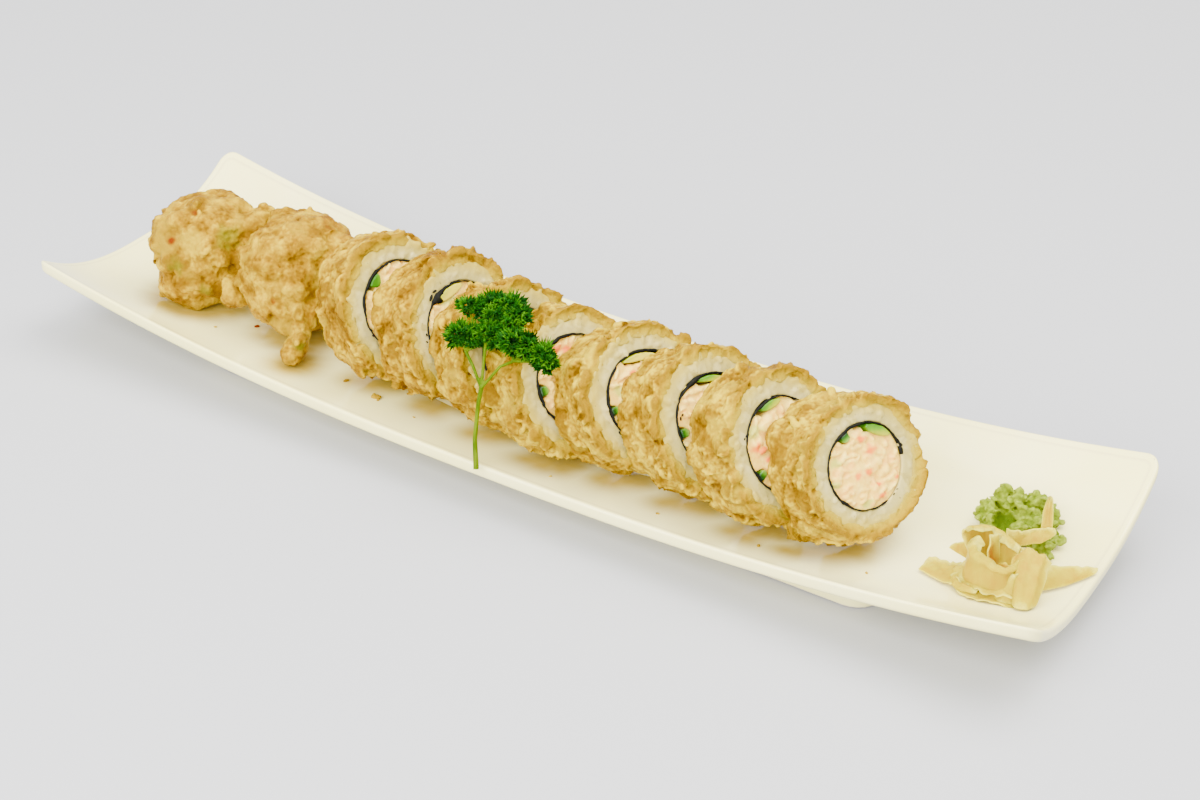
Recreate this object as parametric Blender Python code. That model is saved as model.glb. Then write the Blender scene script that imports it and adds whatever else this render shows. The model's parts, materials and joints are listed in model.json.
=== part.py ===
"""Fried sushi roll, cut into slices and served on a long plate with four lifted corners.

Metres, +Z up, +X along the plate towards the pickled ginger, +Y to the back.
The origin is on the table, under the middle of the plate.
Run it with: blender --background --python part.py
"""

import math

import bmesh
import bpy
from mathutils import Matrix, Vector, noise

MM = 0.001
GAP = 0.3 * MM  # clearance between pieces that touch

# The plate
PLATE_LENGTH = 385 * MM
PLATE_WIDTH = 108.4 * MM
PLATE_THICKNESS = 4.8 * MM
RIM_HEIGHT = 18 * MM  # top of the long rims at mid length
CORNER_RISE = 17.0 * MM  # how far the corners are lifted above that
END_HEIGHT = 18.6 * MM  # top of the short ends at their middle
BASIN_HEIGHT = 11 * MM  # top face at the centre of the plate
LONG_CURVE = 2.43  # power of the rise towards the ends
CROSS_CURVE = 2.63  # power of the rise towards the long rims
CORNER_RADIUS = 5.5 * MM
RIM_BEVEL = 1.5 * MM
FOOT_LENGTH = 266 * MM
FOOT_WIDTH = 68 * MM
FOOT_WALL = 5 * MM
FOOT_CORNER = 10 * MM

# The cut slices, from the left: each leans back on the one before it
CRUST_RADIUS = 24.0 * MM
CRUST_INNER = 20.9 * MM
RICE_INNER = 16.0 * MM
NORI_RADIUS = 15.3 * MM
NORI_THICKNESS = 0.8 * MM
FILLING_RADIUS = 14.6 * MM
FIRST_FACE_X = -56 * MM
CRUST_LUMP = 1.5 * MM  # height of the batter's larger lumps
AVOCADO_DEPTH = 3.6 * MM
CUCUMBER_DEPTH = 4.2 * MM
HOLLOW_EDGE = 3  # degrees over which a hollow in the filling reaches its depth
LEAN_CLEARANCE = 0.5 * MM
REST_CLEARANCE = 0.5 * MM
AROUND = 38  # crust segments round the roll
ALONG = 4  # crust segments along the roll
WAVE = 0.02  # how far from round the pressed roll is

# One entry a slice: how far its cut face is turned to the front and tilted up, in degrees,
# where the face's centre lies across the plate, the slice's thickness, the slack between it
# and the slice behind, in mm, and in degrees on the face, anticlockwise from the right:
# where the seaweed starts and how far it runs, the avocado, and the cucumber.
SLICES = (
    dict(turn=19, tilt=25, y=-18.4, thick=19.4, slack=0.0, nori=(5, 300), avocado=(118, 158)),
    dict(turn=14, tilt=26, y=-18.2, thick=19.5, slack=0.0, nori=(20, 300), avocado=(72, 124), cucumber=(186, 206)),
    dict(turn=20, tilt=30, y=-21.7, thick=19.5, slack=0.5, nori=(40, 285)),
    dict(turn=20, tilt=31, y=-24.8, thick=18.5, slack=0.0, nori=(48, 280), cucumber=(166, 188)),
    dict(turn=20, tilt=31, y=-22.3, thick=19.6, slack=0.2, nori=(30, 300), avocado=(50, 112), cucumber=(172, 190)),
    dict(turn=21, tilt=31, y=-22.2, thick=19.5, slack=0.2, nori=(44, 290), avocado=(54, 104), cucumber=(170, 190)),
    dict(turn=18, tilt=31, y=-24.5, thick=19.0, slack=1.4, nori=(46, 280), avocado=(84, 124), cucumber=(196, 214)),
    dict(turn=20, tilt=31, y=-21.7, thick=18.8, slack=1.2, nori=(-6, 292), avocado=(42, 92), cucumber=(100, 122)),
)

# The two uncut end pieces: where the middle of each lies, and how it is turned
END_LENGTH = 33 * MM
END_LUMP = 2.0 * MM
END_PIECES = (
    dict(name="end_piece_1", x=-144, y=-14, turn=12, tilt=2, radius=20),
    dict(name="end_piece_2", x=-105.5, y=-11, turn=20, tilt=8, radius=21.6),
)
# The drip of batter that hangs from the second one, as centres and radii in mm
TAIL = ((-95, -24, 30, 6.0), (-93, -29, 25.5, 4.2), (-91.5, -33.5, 20.8, 4.9), (-91.5, -36.2, 20.6, 3.9))

# Garnish on the right
WASABI_CENTRE = (159.5 * MM, 16.5 * MM)
WASABI_SIZE = (15 * MM, 11.5 * MM, 11 * MM)
GINGER_CENTRE = (167, -19)
GINGER_THICKNESS = 1.2 * MM
# Petals round that centre: start and end angle in degrees, then radius and height above the
# plate at the lower and at the upper edge, in mm. A second radius is for the petal's far end.
GINGER_PETALS = (
    dict(name="ginger_skirt", sweep=(186, 336), lower=(13.5, 13.0, 1.1), upper=(9.6, 9.4, 5.6), bulge=1.0),
    dict(name="ginger_rose", sweep=(196, 640), lower=(7.6, 3.4, 5.4), upper=(9.2, 3.2, 12.5), bulge=0.8),
    dict(name="ginger_right", sweep=(-22, 74), lower=(12.6, 12.6, 1.1), upper=(11.0, 11.4, 14.5), bulge=0.8),
    dict(name="ginger_back", sweep=(84, 178), lower=(12.6, 12.8, 1.1), upper=(10.6, 12.2, 15.5), bulge=-0.6),
)
# Loose strips: points along the lower and the upper edge, with heights above the plate
GINGER_STRIPS = (
    dict(
        name="ginger_strip_left",
        lower=((143.0, -23.5, 1.1), (147.5, -25.5, 1.2), (152.0, -27.0, 1.1)),
        upper=((145.5, -17.0, 1.3), (148.5, -17.5, 2.6), (152.0, -17.5, 3.4)),
    ),
    dict(
        name="ginger_strip_right",
        lower=((182.0, -13.5, 1.1), (186.5, -7.5, 1.1), (190.2, 0.8, 1.1)),
        upper=((182.0, -5.0, 4.5), (186.0, -1.0, 3.5), (190.2, 2.8, 1.9)),
    ),
    dict(
        name="ginger_strip_back",
        lower=((163.5, -3.6, 3.5), (169.5, -1.4, 4.5), (176.0, 3.8, 4.0), (179.0, 8.0, 2.5)),
        upper=((164.0, -2.0, 9.5), (169.0, 1.4, 10.5), (172.6, 7.0, 16.0), (177.5, 10.0, 6.0)),
    ),
)

# Parsley, in mm: its stems as lines of points with a radius at each, and its leafy heads
STEM_FOOT = ((-2.2, -52.6, 19.6, 1.3), (-4.4, -50.4, 28, 1.1), (-4.2, -49.4, 38, 1.0), (-3.6, -48.4, 44.5, 1.1))
STEM_BRANCHES = (
    ((-8.2, -46.6, 49.6, 0.8), (-12.6, -44.4, 52.6, 0.8)),
    ((-4.6, -45.8, 51.4, 0.8), (-6.4, -42.0, 56.0, 0.8)),
    ((1.2, -45.2, 51.8, 0.8), (5.2, -43.2, 54.4, 0.8)),
)
PARSLEY_HEADS = (
    dict(name="parsley_leaf_left", centre=(-17.4, -42.2, 57.2), half=(8.4, 5.6), facing=(0.1, -0.62, 0.75), turn=14, lobes=9),
    dict(name="parsley_leaf_top", centre=(-5.0, -32, 63.8), half=(12, 9), facing=(0.12, -0.42, 0.9), turn=6, lobes=13),
    dict(name="parsley_leaf_right", centre=(11.2, -39.6, 60.2), half=(10.4, 6.0), facing=(0.2, -0.55, 0.8), turn=-10, lobes=10),
)
LEAF_THICKNESS = 0.6 * MM


def clear_scene():
    for old in list(bpy.data.objects):
        bpy.data.objects.remove(old)


def finish(name, colour, roughness):
    """A plain Principled material."""
    material = bpy.data.materials.new(name)
    material.use_nodes = True
    shader = material.node_tree.nodes["Principled BSDF"]
    shader.inputs["Base Color"].default_value = (*colour, 1)
    shader.inputs["Roughness"].default_value = roughness
    shader.inputs["Metallic"].default_value = 0
    return material


def add_object(name, mesh, material, parent=None, smooth=True):
    """A named object, in the frame of its parent."""
    mesh.materials.append(material)
    if smooth:
        mesh.shade_smooth()
        mesh.set_sharp_from_angle(angle=math.radians(40))
    made = bpy.data.objects.new(name, mesh)
    bpy.context.scene.collection.objects.link(made)
    made.parent = parent
    return made


def mesh_from(name, bm):
    bmesh.ops.recalc_face_normals(bm, faces=bm.faces)
    mesh = bpy.data.meshes.new(name)
    bm.to_mesh(mesh)
    bm.free()
    return mesh


def plate_rule(x, y):
    """Height the plate's top face is meant to have."""
    along = min(abs(2 * x / PLATE_LENGTH), 1)
    across = min(abs(2 * y / PLATE_WIDTH), 1)
    rim = RIM_HEIGHT + CORNER_RISE * along**LONG_CURVE
    middle = BASIN_HEIGHT + (END_HEIGHT - BASIN_HEIGHT) * along**LONG_CURVE
    return middle + (rim - middle) * across**CROSS_CURVE


def stations(half, corner, steps):
    """Places from -half to half, the outer ones a corner radius in from the edge."""
    inner = half - corner
    return [-half] + [inner * (2 * i / steps - 1) for i in range(steps + 1)] + [half]


PLATE_XS = stations(PLATE_LENGTH / 2, CORNER_RADIUS, 16)
PLATE_YS = stations(PLATE_WIDTH / 2, CORNER_RADIUS, 8)


def plate_top(x, y):
    """Height of the plate's top face as it is built, flat between its stations."""
    i = min(max(sum(1 for s in PLATE_XS if s <= x) - 1, 0), len(PLATE_XS) - 2)
    j = min(max(sum(1 for s in PLATE_YS if s <= y) - 1, 0), len(PLATE_YS) - 2)
    x0, x1 = PLATE_XS[i : i + 2]
    y0, y1 = PLATE_YS[j : j + 2]
    s, t = (x - x0) / (x1 - x0), (y - y0) / (y1 - y0)
    near = (1 - s) * plate_rule(x0, y0) + s * plate_rule(x1, y0)
    far = (1 - s) * plate_rule(x0, y1) + s * plate_rule(x1, y1)
    return (1 - t) * near + t * far


def plate_shell():
    """The curved plate, the same thickness all over, with its corners drawn in."""
    xs, ys = PLATE_XS, PLATE_YS
    pull = CORNER_RADIUS * (1 - math.sqrt(0.5))
    bm = bmesh.new()
    layers = []
    for drop in (0, PLATE_THICKNESS):
        rows = []
        for x in xs:
            row = []
            for y in ys:
                at_corner = abs(x) == max(xs) and abs(y) == max(ys)
                px = x - math.copysign(pull, x) * at_corner
                py = y - math.copysign(pull, y) * at_corner
                row.append(bm.verts.new((px, py, plate_top(px, py) - drop)))
            rows.append(row)
        layers.append(rows)
    border = []
    for rows in layers:
        for first, second in zip(rows, rows[1:]):
            for i in range(len(ys) - 1):
                bm.faces.new((first[i], second[i], second[i + 1], first[i + 1]))
        front = [row[0] for row in rows]
        back = [row[-1] for row in rows]
        border.append(front + rows[-1][1:-1] + back[::-1] + rows[0][-2:0:-1])
    bridge(bm, *border)
    return mesh_from("plate", bm)


def rounded_rectangle(length, width, radius, corner_steps, side_steps):
    """Points round a rectangle with arcs at its corners and its long sides divided."""
    points = []
    for quarter in range(4):
        angle = quarter * math.pi / 2
        cx = (length / 2 - radius) * (1 if quarter in (0, 3) else -1)
        cy = (width / 2 - radius) * (1 if quarter < 2 else -1)
        for step in range(corner_steps + 1):
            turn = angle + step / corner_steps * math.pi / 2
            points.append((cx + radius * math.cos(turn), cy + radius * math.sin(turn)))
        if quarter in (0, 2):
            direction = -1 if quarter == 0 else 1
            straight = length - 2 * radius
            for step in range(1, side_steps):
                points.append((cx + direction * straight * step / side_steps, points[-1][1]))
    return points


def foot_ring():
    """The long foot ring, reaching up into the plate."""
    outer = rounded_rectangle(FOOT_LENGTH, FOOT_WIDTH, FOOT_CORNER, 3, 6)
    inner = rounded_rectangle(
        FOOT_LENGTH - 2 * FOOT_WALL, FOOT_WIDTH - 2 * FOOT_WALL, FOOT_CORNER - FOOT_WALL, 3, 6
    )
    bm = bmesh.new()
    loops = []
    for outline, top in ((outer, False), (outer, True), (inner, True), (inner, False)):
        loop = []
        for x, y in outline:
            z = plate_top(x, y) - PLATE_THICKNESS / 2 if top else 0
            loop.append(bm.verts.new((x, y, z)))
        loops.append(loop)
    for first, second in zip(loops, loops[1:] + loops[:1]):
        bridge(bm, first, second)
    return mesh_from("foot_ring", bm)


def bridge(bm, first, second, closed=True):
    """Quads between two rows of the same number of vertices."""
    count = len(first)
    for i in range(count if closed else count - 1):
        j = (i + 1) % count
        bm.faces.new((first[i], first[j], second[j], second[i]))


def build_plate(ceramic):
    plate = add_object("plate", plate_shell(), ceramic)
    bevel = plate.modifiers.new("edge", "BEVEL")
    bevel.width = RIM_BEVEL
    bevel.segments = 1
    bevel.limit_method = "ANGLE"
    bevel.angle_limit = math.radians(50)
    foot = add_object("foot_ring", foot_ring(), ceramic)
    unite(plate, foot)


def unite(body, other):
    """Fuse another object into a body and drop it."""
    union = body.modifiers.new(other.name, "BOOLEAN")
    union.operation = "UNION"
    union.solver = "EXACT"
    union.object = other
    bpy.context.view_layer.update()
    evaluated = body.evaluated_get(bpy.context.evaluated_depsgraph_get())
    fused = bpy.data.meshes.new_from_object(evaluated)
    body.modifiers.clear()
    body.data = fused
    bpy.data.objects.remove(other)


def face_axes(turn, tilt):
    """Right, up and outward directions of a cut face turned to the front and tilted up, in degrees."""
    turn, tilt = math.radians(turn), math.radians(tilt)
    out = Vector(
        (math.cos(tilt) * math.cos(turn), -math.cos(tilt) * math.sin(turn), math.sin(tilt))
    )
    right = Vector((0, 0, 1)).cross(out).normalized()
    return right, out.cross(right), out


def frame_matrix(axes, centre):
    matrix = Matrix(axes).transposed().to_4x4()
    matrix.translation = centre
    return matrix


def rest_height(matrix, points):
    """How far to raise a piece so that its lowest part just clears the plate."""
    placed = [matrix @ p for p in points]
    return REST_CLEARANCE - min(p.z - plate_top(p.x, p.y) for p in placed)


def pressed(number, angle):
    """How a slice departs from round, the same for all its layers."""
    return 1 + WAVE * math.cos(2 * angle + number) + 0.5 * WAVE * math.cos(3 * angle + 2.3 * number)


def crust_outer(number, angle, depth):
    """Radius of the batter's outer side, with its lumps."""
    spot = Vector((math.cos(angle), math.sin(angle), depth / CRUST_RADIUS))
    offset = Vector((11.3 * number, 0, 4.7))
    lumps = noise.noise(spot * 2.9 + offset) + 0.7 * noise.noise(spot * 6.1 - offset)
    return CRUST_RADIUS * pressed(number, angle) + CRUST_LUMP * lumps


def crust_inner(number, angle):
    """Radius where the batter meets the rice."""
    wave = noise.noise(Vector((math.cos(angle) * 2, math.sin(angle) * 2, number * 3.7)))
    return CRUST_INNER * pressed(number, angle) + 0.5 * MM * wave


def angles(count, start=0.0, sweep=360.0):
    """Evenly spaced angles, in radians; a full circle leaves out its repeated end."""
    steps = count if sweep == 360 else count - 1
    return [math.radians(start + sweep * i / steps) for i in range(count)]


def polar(radius, angle, depth=0.0):
    return Vector((radius * math.cos(angle), radius * math.sin(angle), depth))


def crust_mesh(number, thick):
    """A ring of batter, craggy outside and flat where it is cut."""
    bm = bmesh.new()
    turns = angles(AROUND)
    loops = []
    for step in range(ALONG + 1):
        depth = -thick * step / ALONG
        loops.append([bm.verts.new(polar(crust_outer(number, a, depth), a, depth)) for a in turns])
    for depth in (-thick, 0):
        loops.append([bm.verts.new(polar(crust_inner(number, a), a, depth)) for a in turns])
    for first, second in zip(loops, loops[1:] + loops[:1]):
        bridge(bm, first, second)
    return mesh_from("crust", bm)


def ring_mesh(turns, outer, inner, thick, closed=True):
    """A ring, or an open strip, between two radius rules."""
    bm = bmesh.new()
    loops = []
    for rule, depth in ((outer, 0), (outer, -thick), (inner, -thick), (inner, 0)):
        loops.append([bm.verts.new(polar(rule(a), a, depth)) for a in turns])
    for first, second in zip(loops, loops[1:] + loops[:1]):
        bridge(bm, first, second, closed)
    if not closed:
        for end in (0, -1):
            bm.faces.new([loop[end] for loop in loops])
    return mesh_from("ring", bm)


def hollow_steps(span, inner_steps):
    """Angles across a hollow under the seaweed, with the share of its depth at each."""
    start, end = span
    step = (end - start - 2 * HOLLOW_EDGE) / (inner_steps - 1)
    inside = [(start + HOLLOW_EDGE + step * i, 1.0) for i in range(inner_steps)]
    inside[0] = (inside[0][0], 0.8)
    inside[-1] = (inside[-1][0], 0.8)
    return inside


def filling_mesh(number, entry):
    """The crab filling: a drum with a hollow for each piece that lies beside it."""
    rim = []
    hollows = [(entry.get("avocado"), AVOCADO_DEPTH, 6), (entry.get("cucumber"), CUCUMBER_DEPTH, 4)]
    hollows = [hollow for hollow in hollows if hollow[0]]
    for angle in range(0, 360, 12):
        clear = True
        for (start, end), _, _ in hollows:
            clear = clear and not -5 < (angle - start) % 360 < end - start + 5
            clear = clear and not 355 < (angle - start) % 360
        if clear:
            rim.append((angle, 0.0))
    for span, depth, steps in hollows:
        rim += [(span[0], 0.0), (span[1], 0.0)]
        rim += [(angle, share * depth) for angle, share in hollow_steps(span, steps)]
    rim.sort(key=lambda spot: spot[0] % 360)
    bm = bmesh.new()
    thick = entry["thick"] * MM
    turned = [(math.radians(angle), cut) for angle, cut in rim]
    outline = [(FILLING_RADIUS * pressed(number, a) - cut, a) for a, cut in turned]
    front = [bm.verts.new(polar(r, a)) for r, a in outline]
    back = [bm.verts.new(polar(r, a, -thick)) for r, a in outline]
    bridge(bm, front, back)
    for loop, depth in ((front, 0), (back, -thick)):
        middle = bm.verts.new((0, 0, depth))
        for i, vert in enumerate(loop):
            bm.faces.new((middle, vert, loop[(i + 1) % len(loop)]))
    return mesh_from("filling", bm)


def wedge_mesh(number, span, depth, thick, steps):
    """Avocado or cucumber: what fills a hollow of the filling, with clearance to it."""
    shares = {math.radians(angle): share for angle, share in hollow_steps(span, steps)}

    def outer(a):
        return FILLING_RADIUS * pressed(number, a) - 0.1 * MM

    def inner(a):
        return FILLING_RADIUS * pressed(number, a) - shares[a] * depth + 1.5 * GAP

    return ring_mesh(list(shares), outer, inner, thick, closed=False)


def build_slices(materials):
    """The cut slices, placed from the left by leaning each on the one before."""
    behind = None
    for number, entry in enumerate(SLICES, start=3):
        thick = entry["thick"] * MM
        axes = face_axes(entry["turn"], entry["tilt"])
        crust = crust_mesh(number, thick)
        centre = Vector((FIRST_FACE_X, entry["y"] * MM, CRUST_RADIUS))
        points = [v.co.copy() for v in crust.vertices]
        matrix = frame_matrix(axes, centre)
        for _ in range(3):
            matrix.translation.z += rest_height(matrix, points)
            if behind:
                clear = min((matrix @ p - behind.translation).dot(behind.col[2].xyz) for p in points)
                wanted = LEAN_CLEARANCE + entry["slack"] * MM
                matrix.translation.x += (wanted - clear) / behind.col[2].x
        behind = matrix
        frame = bpy.data.objects.new(f"slice_{number:02d}", None)
        bpy.context.scene.collection.objects.link(frame)
        frame.matrix_world = matrix
        layers = {
            "crust": crust,
            "rice": ring_mesh(
                angles(28),
                lambda a, n=number: crust_inner(n, a) - 1.3 * GAP,
                lambda a, n=number: RICE_INNER * pressed(n, a),
                thick,
            ),
            "nori": ring_mesh(
                angles(18, *entry["nori"]),
                lambda a, n=number: (NORI_RADIUS + NORI_THICKNESS / 2) * pressed(n, a),
                lambda a, n=number: (NORI_RADIUS - NORI_THICKNESS / 2) * pressed(n, a),
                thick,
                closed=False,
            ),
            "crab": filling_mesh(number, entry),
        }
        if "avocado" in entry:
            layers["avocado"] = wedge_mesh(number, entry["avocado"], AVOCADO_DEPTH, thick, 6)
        if "cucumber" in entry:
            layers["cucumber"] = wedge_mesh(number, entry["cucumber"], CUCUMBER_DEPTH, thick, 4)
        for layer, mesh in layers.items():
            add_object(f"{layer}_{number:02d}", mesh, materials[layer], frame)


def lumpy(point, height, seed):
    """Move a point of a batter-covered body out or in by the batter's lumps."""
    spot = point / (9 * MM) + Vector((seed, -seed, seed / 2))
    size = noise.noise(spot) + 0.6 * noise.noise(spot * 2.1)
    return point + point.normalized() * height * size


def build_end_piece(entry, seed, material):
    """An uncut end of the roll, battered all over: a short drum with well rounded ends."""
    radius = entry["radius"] * MM
    bm = bmesh.new()
    bmesh.ops.create_uvsphere(bm, u_segments=24, v_segments=12, radius=1)
    for vert in bm.verts:
        flat = vert.co.xy.length
        along = math.copysign(abs(vert.co.z) ** 0.72, vert.co.z)
        wide = flat**0.62 / flat if flat > 1e-6 else 0
        shaped = Vector((vert.co.x * wide, vert.co.y * wide, along))
        shaped = Vector((shaped.x * radius, shaped.y * radius, shaped.z * END_LENGTH / 2))
        vert.co = lumpy(shaped, END_LUMP, seed)
    mesh = mesh_from(entry["name"], bm)
    axes = face_axes(entry["turn"], entry["tilt"])
    matrix = frame_matrix(axes, Vector((entry["x"] * MM, entry["y"] * MM, radius)))
    points = [v.co.copy() for v in mesh.vertices]
    matrix.translation.z += rest_height(matrix, points)
    mesh.transform(matrix)
    return add_object(entry["name"], mesh, material)


def batter_drip(material):
    """A run of rounded lumps fused into one, hanging to the plate."""
    body = None
    for x, y, z, radius in TAIL:
        bm = bmesh.new()
        bmesh.ops.create_icosphere(bm, subdivisions=2, radius=radius * MM)
        mesh = mesh_from("drip", bm)
        mesh.transform(Matrix.Translation(Vector((x, y, z)) * MM))
        lump = add_object("drip", mesh, material)
        if body:
            unite(body, lump)
        else:
            body = lump
    return body


def build_wasabi(material):
    """A crumbly mound, following the plate underneath."""
    bm = bmesh.new()
    around, rings = 26, 6
    loops = []
    cx, cy = WASABI_CENTRE
    for ring in range(1, rings + 1):
        share = ring / rings
        loop = []
        for a in angles(around):
            lobes = 1 + 0.12 * noise.noise(Vector((math.cos(a) * 2, math.sin(a) * 2, 5.1)))
            x = cx + WASABI_SIZE[0] * share * lobes * math.cos(a)
            y = cy + WASABI_SIZE[1] * share * lobes * math.sin(a)
            dome = (1 - share**2.6) ** 0.6
            bumps = noise.noise(Vector((x, y, 0.002)) / (5 * MM))
            height = WASABI_SIZE[2] * dome * (0.86 + 0.35 * bumps)
            loop.append(bm.verts.new((x, y, plate_top(x, y) + REST_CLEARANCE + height)))
        loops.append(loop)
    top = bm.verts.new((cx, cy, plate_top(cx, cy) + 0.9 * WASABI_SIZE[2]))
    for first, second in zip(loops, loops[1:]):
        bridge(bm, first, second)
    under = []
    for vert in loops[-1]:
        x, y = (vert.co.x + cx) / 2, (vert.co.y + cy) / 2
        under.append(bm.verts.new((x, y, plate_top(x, y) + REST_CLEARANCE)))
    bridge(bm, loops[-1], under)
    bottom = bm.verts.new((cx, cy, plate_top(cx, cy) + REST_CLEARANCE))
    for i in range(around):
        j = (i + 1) % around
        bm.faces.new((top, loops[0][i], loops[0][j]))
        bm.faces.new((bottom, under[i], under[j]))
    add_object("wasabi", mesh_from("wasabi", bm), material)


def on_plate(x, y, height):
    """A point at a height above the plate's top face, from mm."""
    return Vector((x * MM, y * MM, plate_top(x * MM, y * MM) + height * MM))


def smooth_line(points, count):
    """Evenly spread points on a smooth curve through a few."""
    padded = [2 * points[0] - points[1]] + points + [2 * points[-1] - points[-2]]
    line = []
    for i in range(count):
        place = i / (count - 1) * (len(points) - 1)
        k = min(int(place), len(points) - 2)
        t = place - k
        a, b, c, d = padded[k : k + 4]
        line.append(
            0.5 * (2 * b + (c - a) * t + (2 * a - 5 * b + 4 * c - d) * t**2 + (3 * b - a - 3 * c + d) * t**3)
        )
    return line


def sheet_mesh(name, lower, upper, rows, bulge):
    """A thin sheet between two edges, bowed sideways in the middle."""
    bm = bmesh.new()
    grid = []
    for low, high in zip(lower, upper):
        grid.append([low.lerp(high, r / (rows - 1)) for r in range(rows)])
    for c, column in enumerate(grid):
        along = grid[min(c + 1, len(grid) - 1)][0] - grid[max(c - 1, 0)][0]
        side = along.cross(column[-1] - column[0]).normalized()
        for r, point in enumerate(column):
            point += side * bulge * MM * math.sin(math.pi * r / (rows - 1))
    verts = [[bm.verts.new(p) for p in column] for column in grid]
    for first, second in zip(verts, verts[1:]):
        for r in range(rows - 1):
            bm.faces.new((first[r], second[r], second[r + 1], first[r + 1]))
    bmesh.ops.triangulate(bm, faces=bm.faces)
    return mesh_from(name, bm)


def thicken(sheet, thickness):
    solidify = sheet.modifiers.new("thickness", "SOLIDIFY")
    solidify.thickness = thickness
    solidify.offset = 0
    solidify.use_even_offset = True
    solidify.thickness_clamp = 1


def build_ginger(material):
    """Thin pickled slices gathered into a rose, with loose strips round it."""
    gx, gy = GINGER_CENTRE
    for petal in GINGER_PETALS:
        start, end = petal["sweep"]
        count = max(8, round((end - start) / 18))
        edges = []
        for near, far, height in (petal["lower"], petal["upper"]):
            edge = []
            for i, a in enumerate(angles(count, start, end - start)):
                radius = near + (far - near) * i / (count - 1)
                edge.append(on_plate(gx + radius * math.cos(a), gy + radius * math.sin(a), height))
            edges.append(edge)
        mesh = sheet_mesh(petal["name"], *edges, 4, petal["bulge"])
        thicken(add_object(petal["name"], mesh, material), GINGER_THICKNESS)
    for strip in GINGER_STRIPS:
        edges = [
            smooth_line([on_plate(*point) for point in strip[edge]], 7) for edge in ("lower", "upper")
        ]
        mesh = sheet_mesh(strip["name"], *edges, 3, 0.4)
        thicken(add_object(strip["name"], mesh, material), GINGER_THICKNESS)


def tube_mesh(points):
    """A round stem through a line of points, each with its radius in mm."""
    centres = [Vector(p[:3]) * MM for p in points]
    bm = bmesh.new()
    loops = []
    for i, centre in enumerate(centres):
        along = (centres[min(i + 1, len(centres) - 1)] - centres[max(i - 1, 0)]).normalized()
        side = along.cross(Vector((0, 1, 0))).normalized()
        other = along.cross(side)
        radius = points[i][3] * MM
        loops.append(
            [bm.verts.new(centre + (side * math.cos(a) + other * math.sin(a)) * radius) for a in angles(6)]
        )
    for first, second in zip(loops, loops[1:]):
        bridge(bm, first, second)
    bm.faces.new(loops[0])
    bm.faces.new(loops[-1])
    return mesh_from("tube", bm)


def build_stem(material):
    """The parsley's stem with its branches fused on at the fork."""
    stem = add_object("parsley_stem", tube_mesh(STEM_FOOT), material)
    fork = Vector(STEM_FOOT[-1][:3])
    below = Vector(STEM_FOOT[-2][:3])
    root = fork.lerp(below, 0.12)
    for branch in STEM_BRANCHES:
        line = ((*root, branch[0][3]),) + branch
        unite(stem, add_object("branch", tube_mesh(line), material))


def build_leaf(entry, seed, material):
    """A frilly head of leaf: a thin sheet cut into lobes and waved."""
    out = Vector(entry["facing"]).normalized()
    right = Vector((0, 0, 1)).cross(out).normalized()
    up = out.cross(right)
    lean = math.radians(entry["turn"])
    right, up = right * math.cos(lean) + up * math.sin(lean), up * math.cos(lean) - right * math.sin(lean)
    bm = bmesh.new()
    count = 2 * entry["lobes"]
    rings = (0.42, 0.75, 1.0)
    loops = []
    for ring, share in enumerate(rings):
        loop = []
        for i, a in enumerate(angles(count)):
            deep = 0.26 * (ring / 2) ** 1.5 if i % 2 else 0
            reach = share * (1 - deep) * (1 + 0.12 * noise.noise(Vector((i * 0.7, seed, 0.3))))
            x = entry["half"][0] * reach * math.cos(a)
            y = entry["half"][1] * reach * math.sin(a)
            wave = 1.2 * share * noise.noise(Vector((x, y, 3 * seed)) / 4.5) + 0.5 * share * (-1) ** i
            loop.append(bm.verts.new(Vector(entry["centre"]) * MM + (right * x + up * y + out * wave) * MM))
        loops.append(loop)
    middle = bm.verts.new(Vector(entry["centre"]) * MM)
    for i in range(count):
        bm.faces.new((middle, loops[0][i], loops[0][(i + 1) % count]))
    for first, second in zip(loops, loops[1:]):
        bridge(bm, first, second)
    bmesh.ops.triangulate(bm, faces=bm.faces)
    mesh = mesh_from(entry["name"], bm)
    thicken(add_object(entry["name"], mesh, material), LEAF_THICKNESS)


def main():
    clear_scene()
    materials = {
        "ceramic": finish("ceramic", (0.86, 0.83, 0.74), 0.22),
        "crust": finish("crust", (0.78, 0.55, 0.22), 0.5),
        "rice": finish("rice", (0.74, 0.72, 0.62), 0.5),
        "nori": finish("nori", (0.02, 0.02, 0.015), 0.5),
        "crab": finish("crab", (0.85, 0.68, 0.55), 0.5),
        "avocado": finish("avocado", (0.45, 0.55, 0.1), 0.4),
        "cucumber": finish("cucumber", (0.12, 0.35, 0.05), 0.35),
        "wasabi": finish("wasabi", (0.38, 0.55, 0.17), 0.6),
        "ginger": finish("ginger", (0.86, 0.74, 0.36), 0.35),
        "parsley": finish("parsley", (0.03, 0.2, 0.02), 0.45),
        "parsley_stem": finish("parsley_stem", (0.3, 0.45, 0.06), 0.45),
    }
    build_plate(materials["ceramic"])
    build_slices(materials)
    ends = [build_end_piece(entry, 3.1 + 5.5 * i, materials["crust"]) for i, entry in enumerate(END_PIECES)]
    unite(ends[1], batter_drip(materials["crust"]))
    build_wasabi(materials["wasabi"])
    build_ginger(materials["ginger"])
    build_stem(materials["parsley_stem"])
    for seed, entry in enumerate(PARSLEY_HEADS, start=1):
        build_leaf(entry, seed, materials["parsley"])


main()
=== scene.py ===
import json
import math
import random

import bpy
import numpy as np
from mathutils import Euler, Matrix, Vector, noise
from mathutils.bvhtree import BVHTree
from mathutils.kdtree import KDTree

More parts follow.
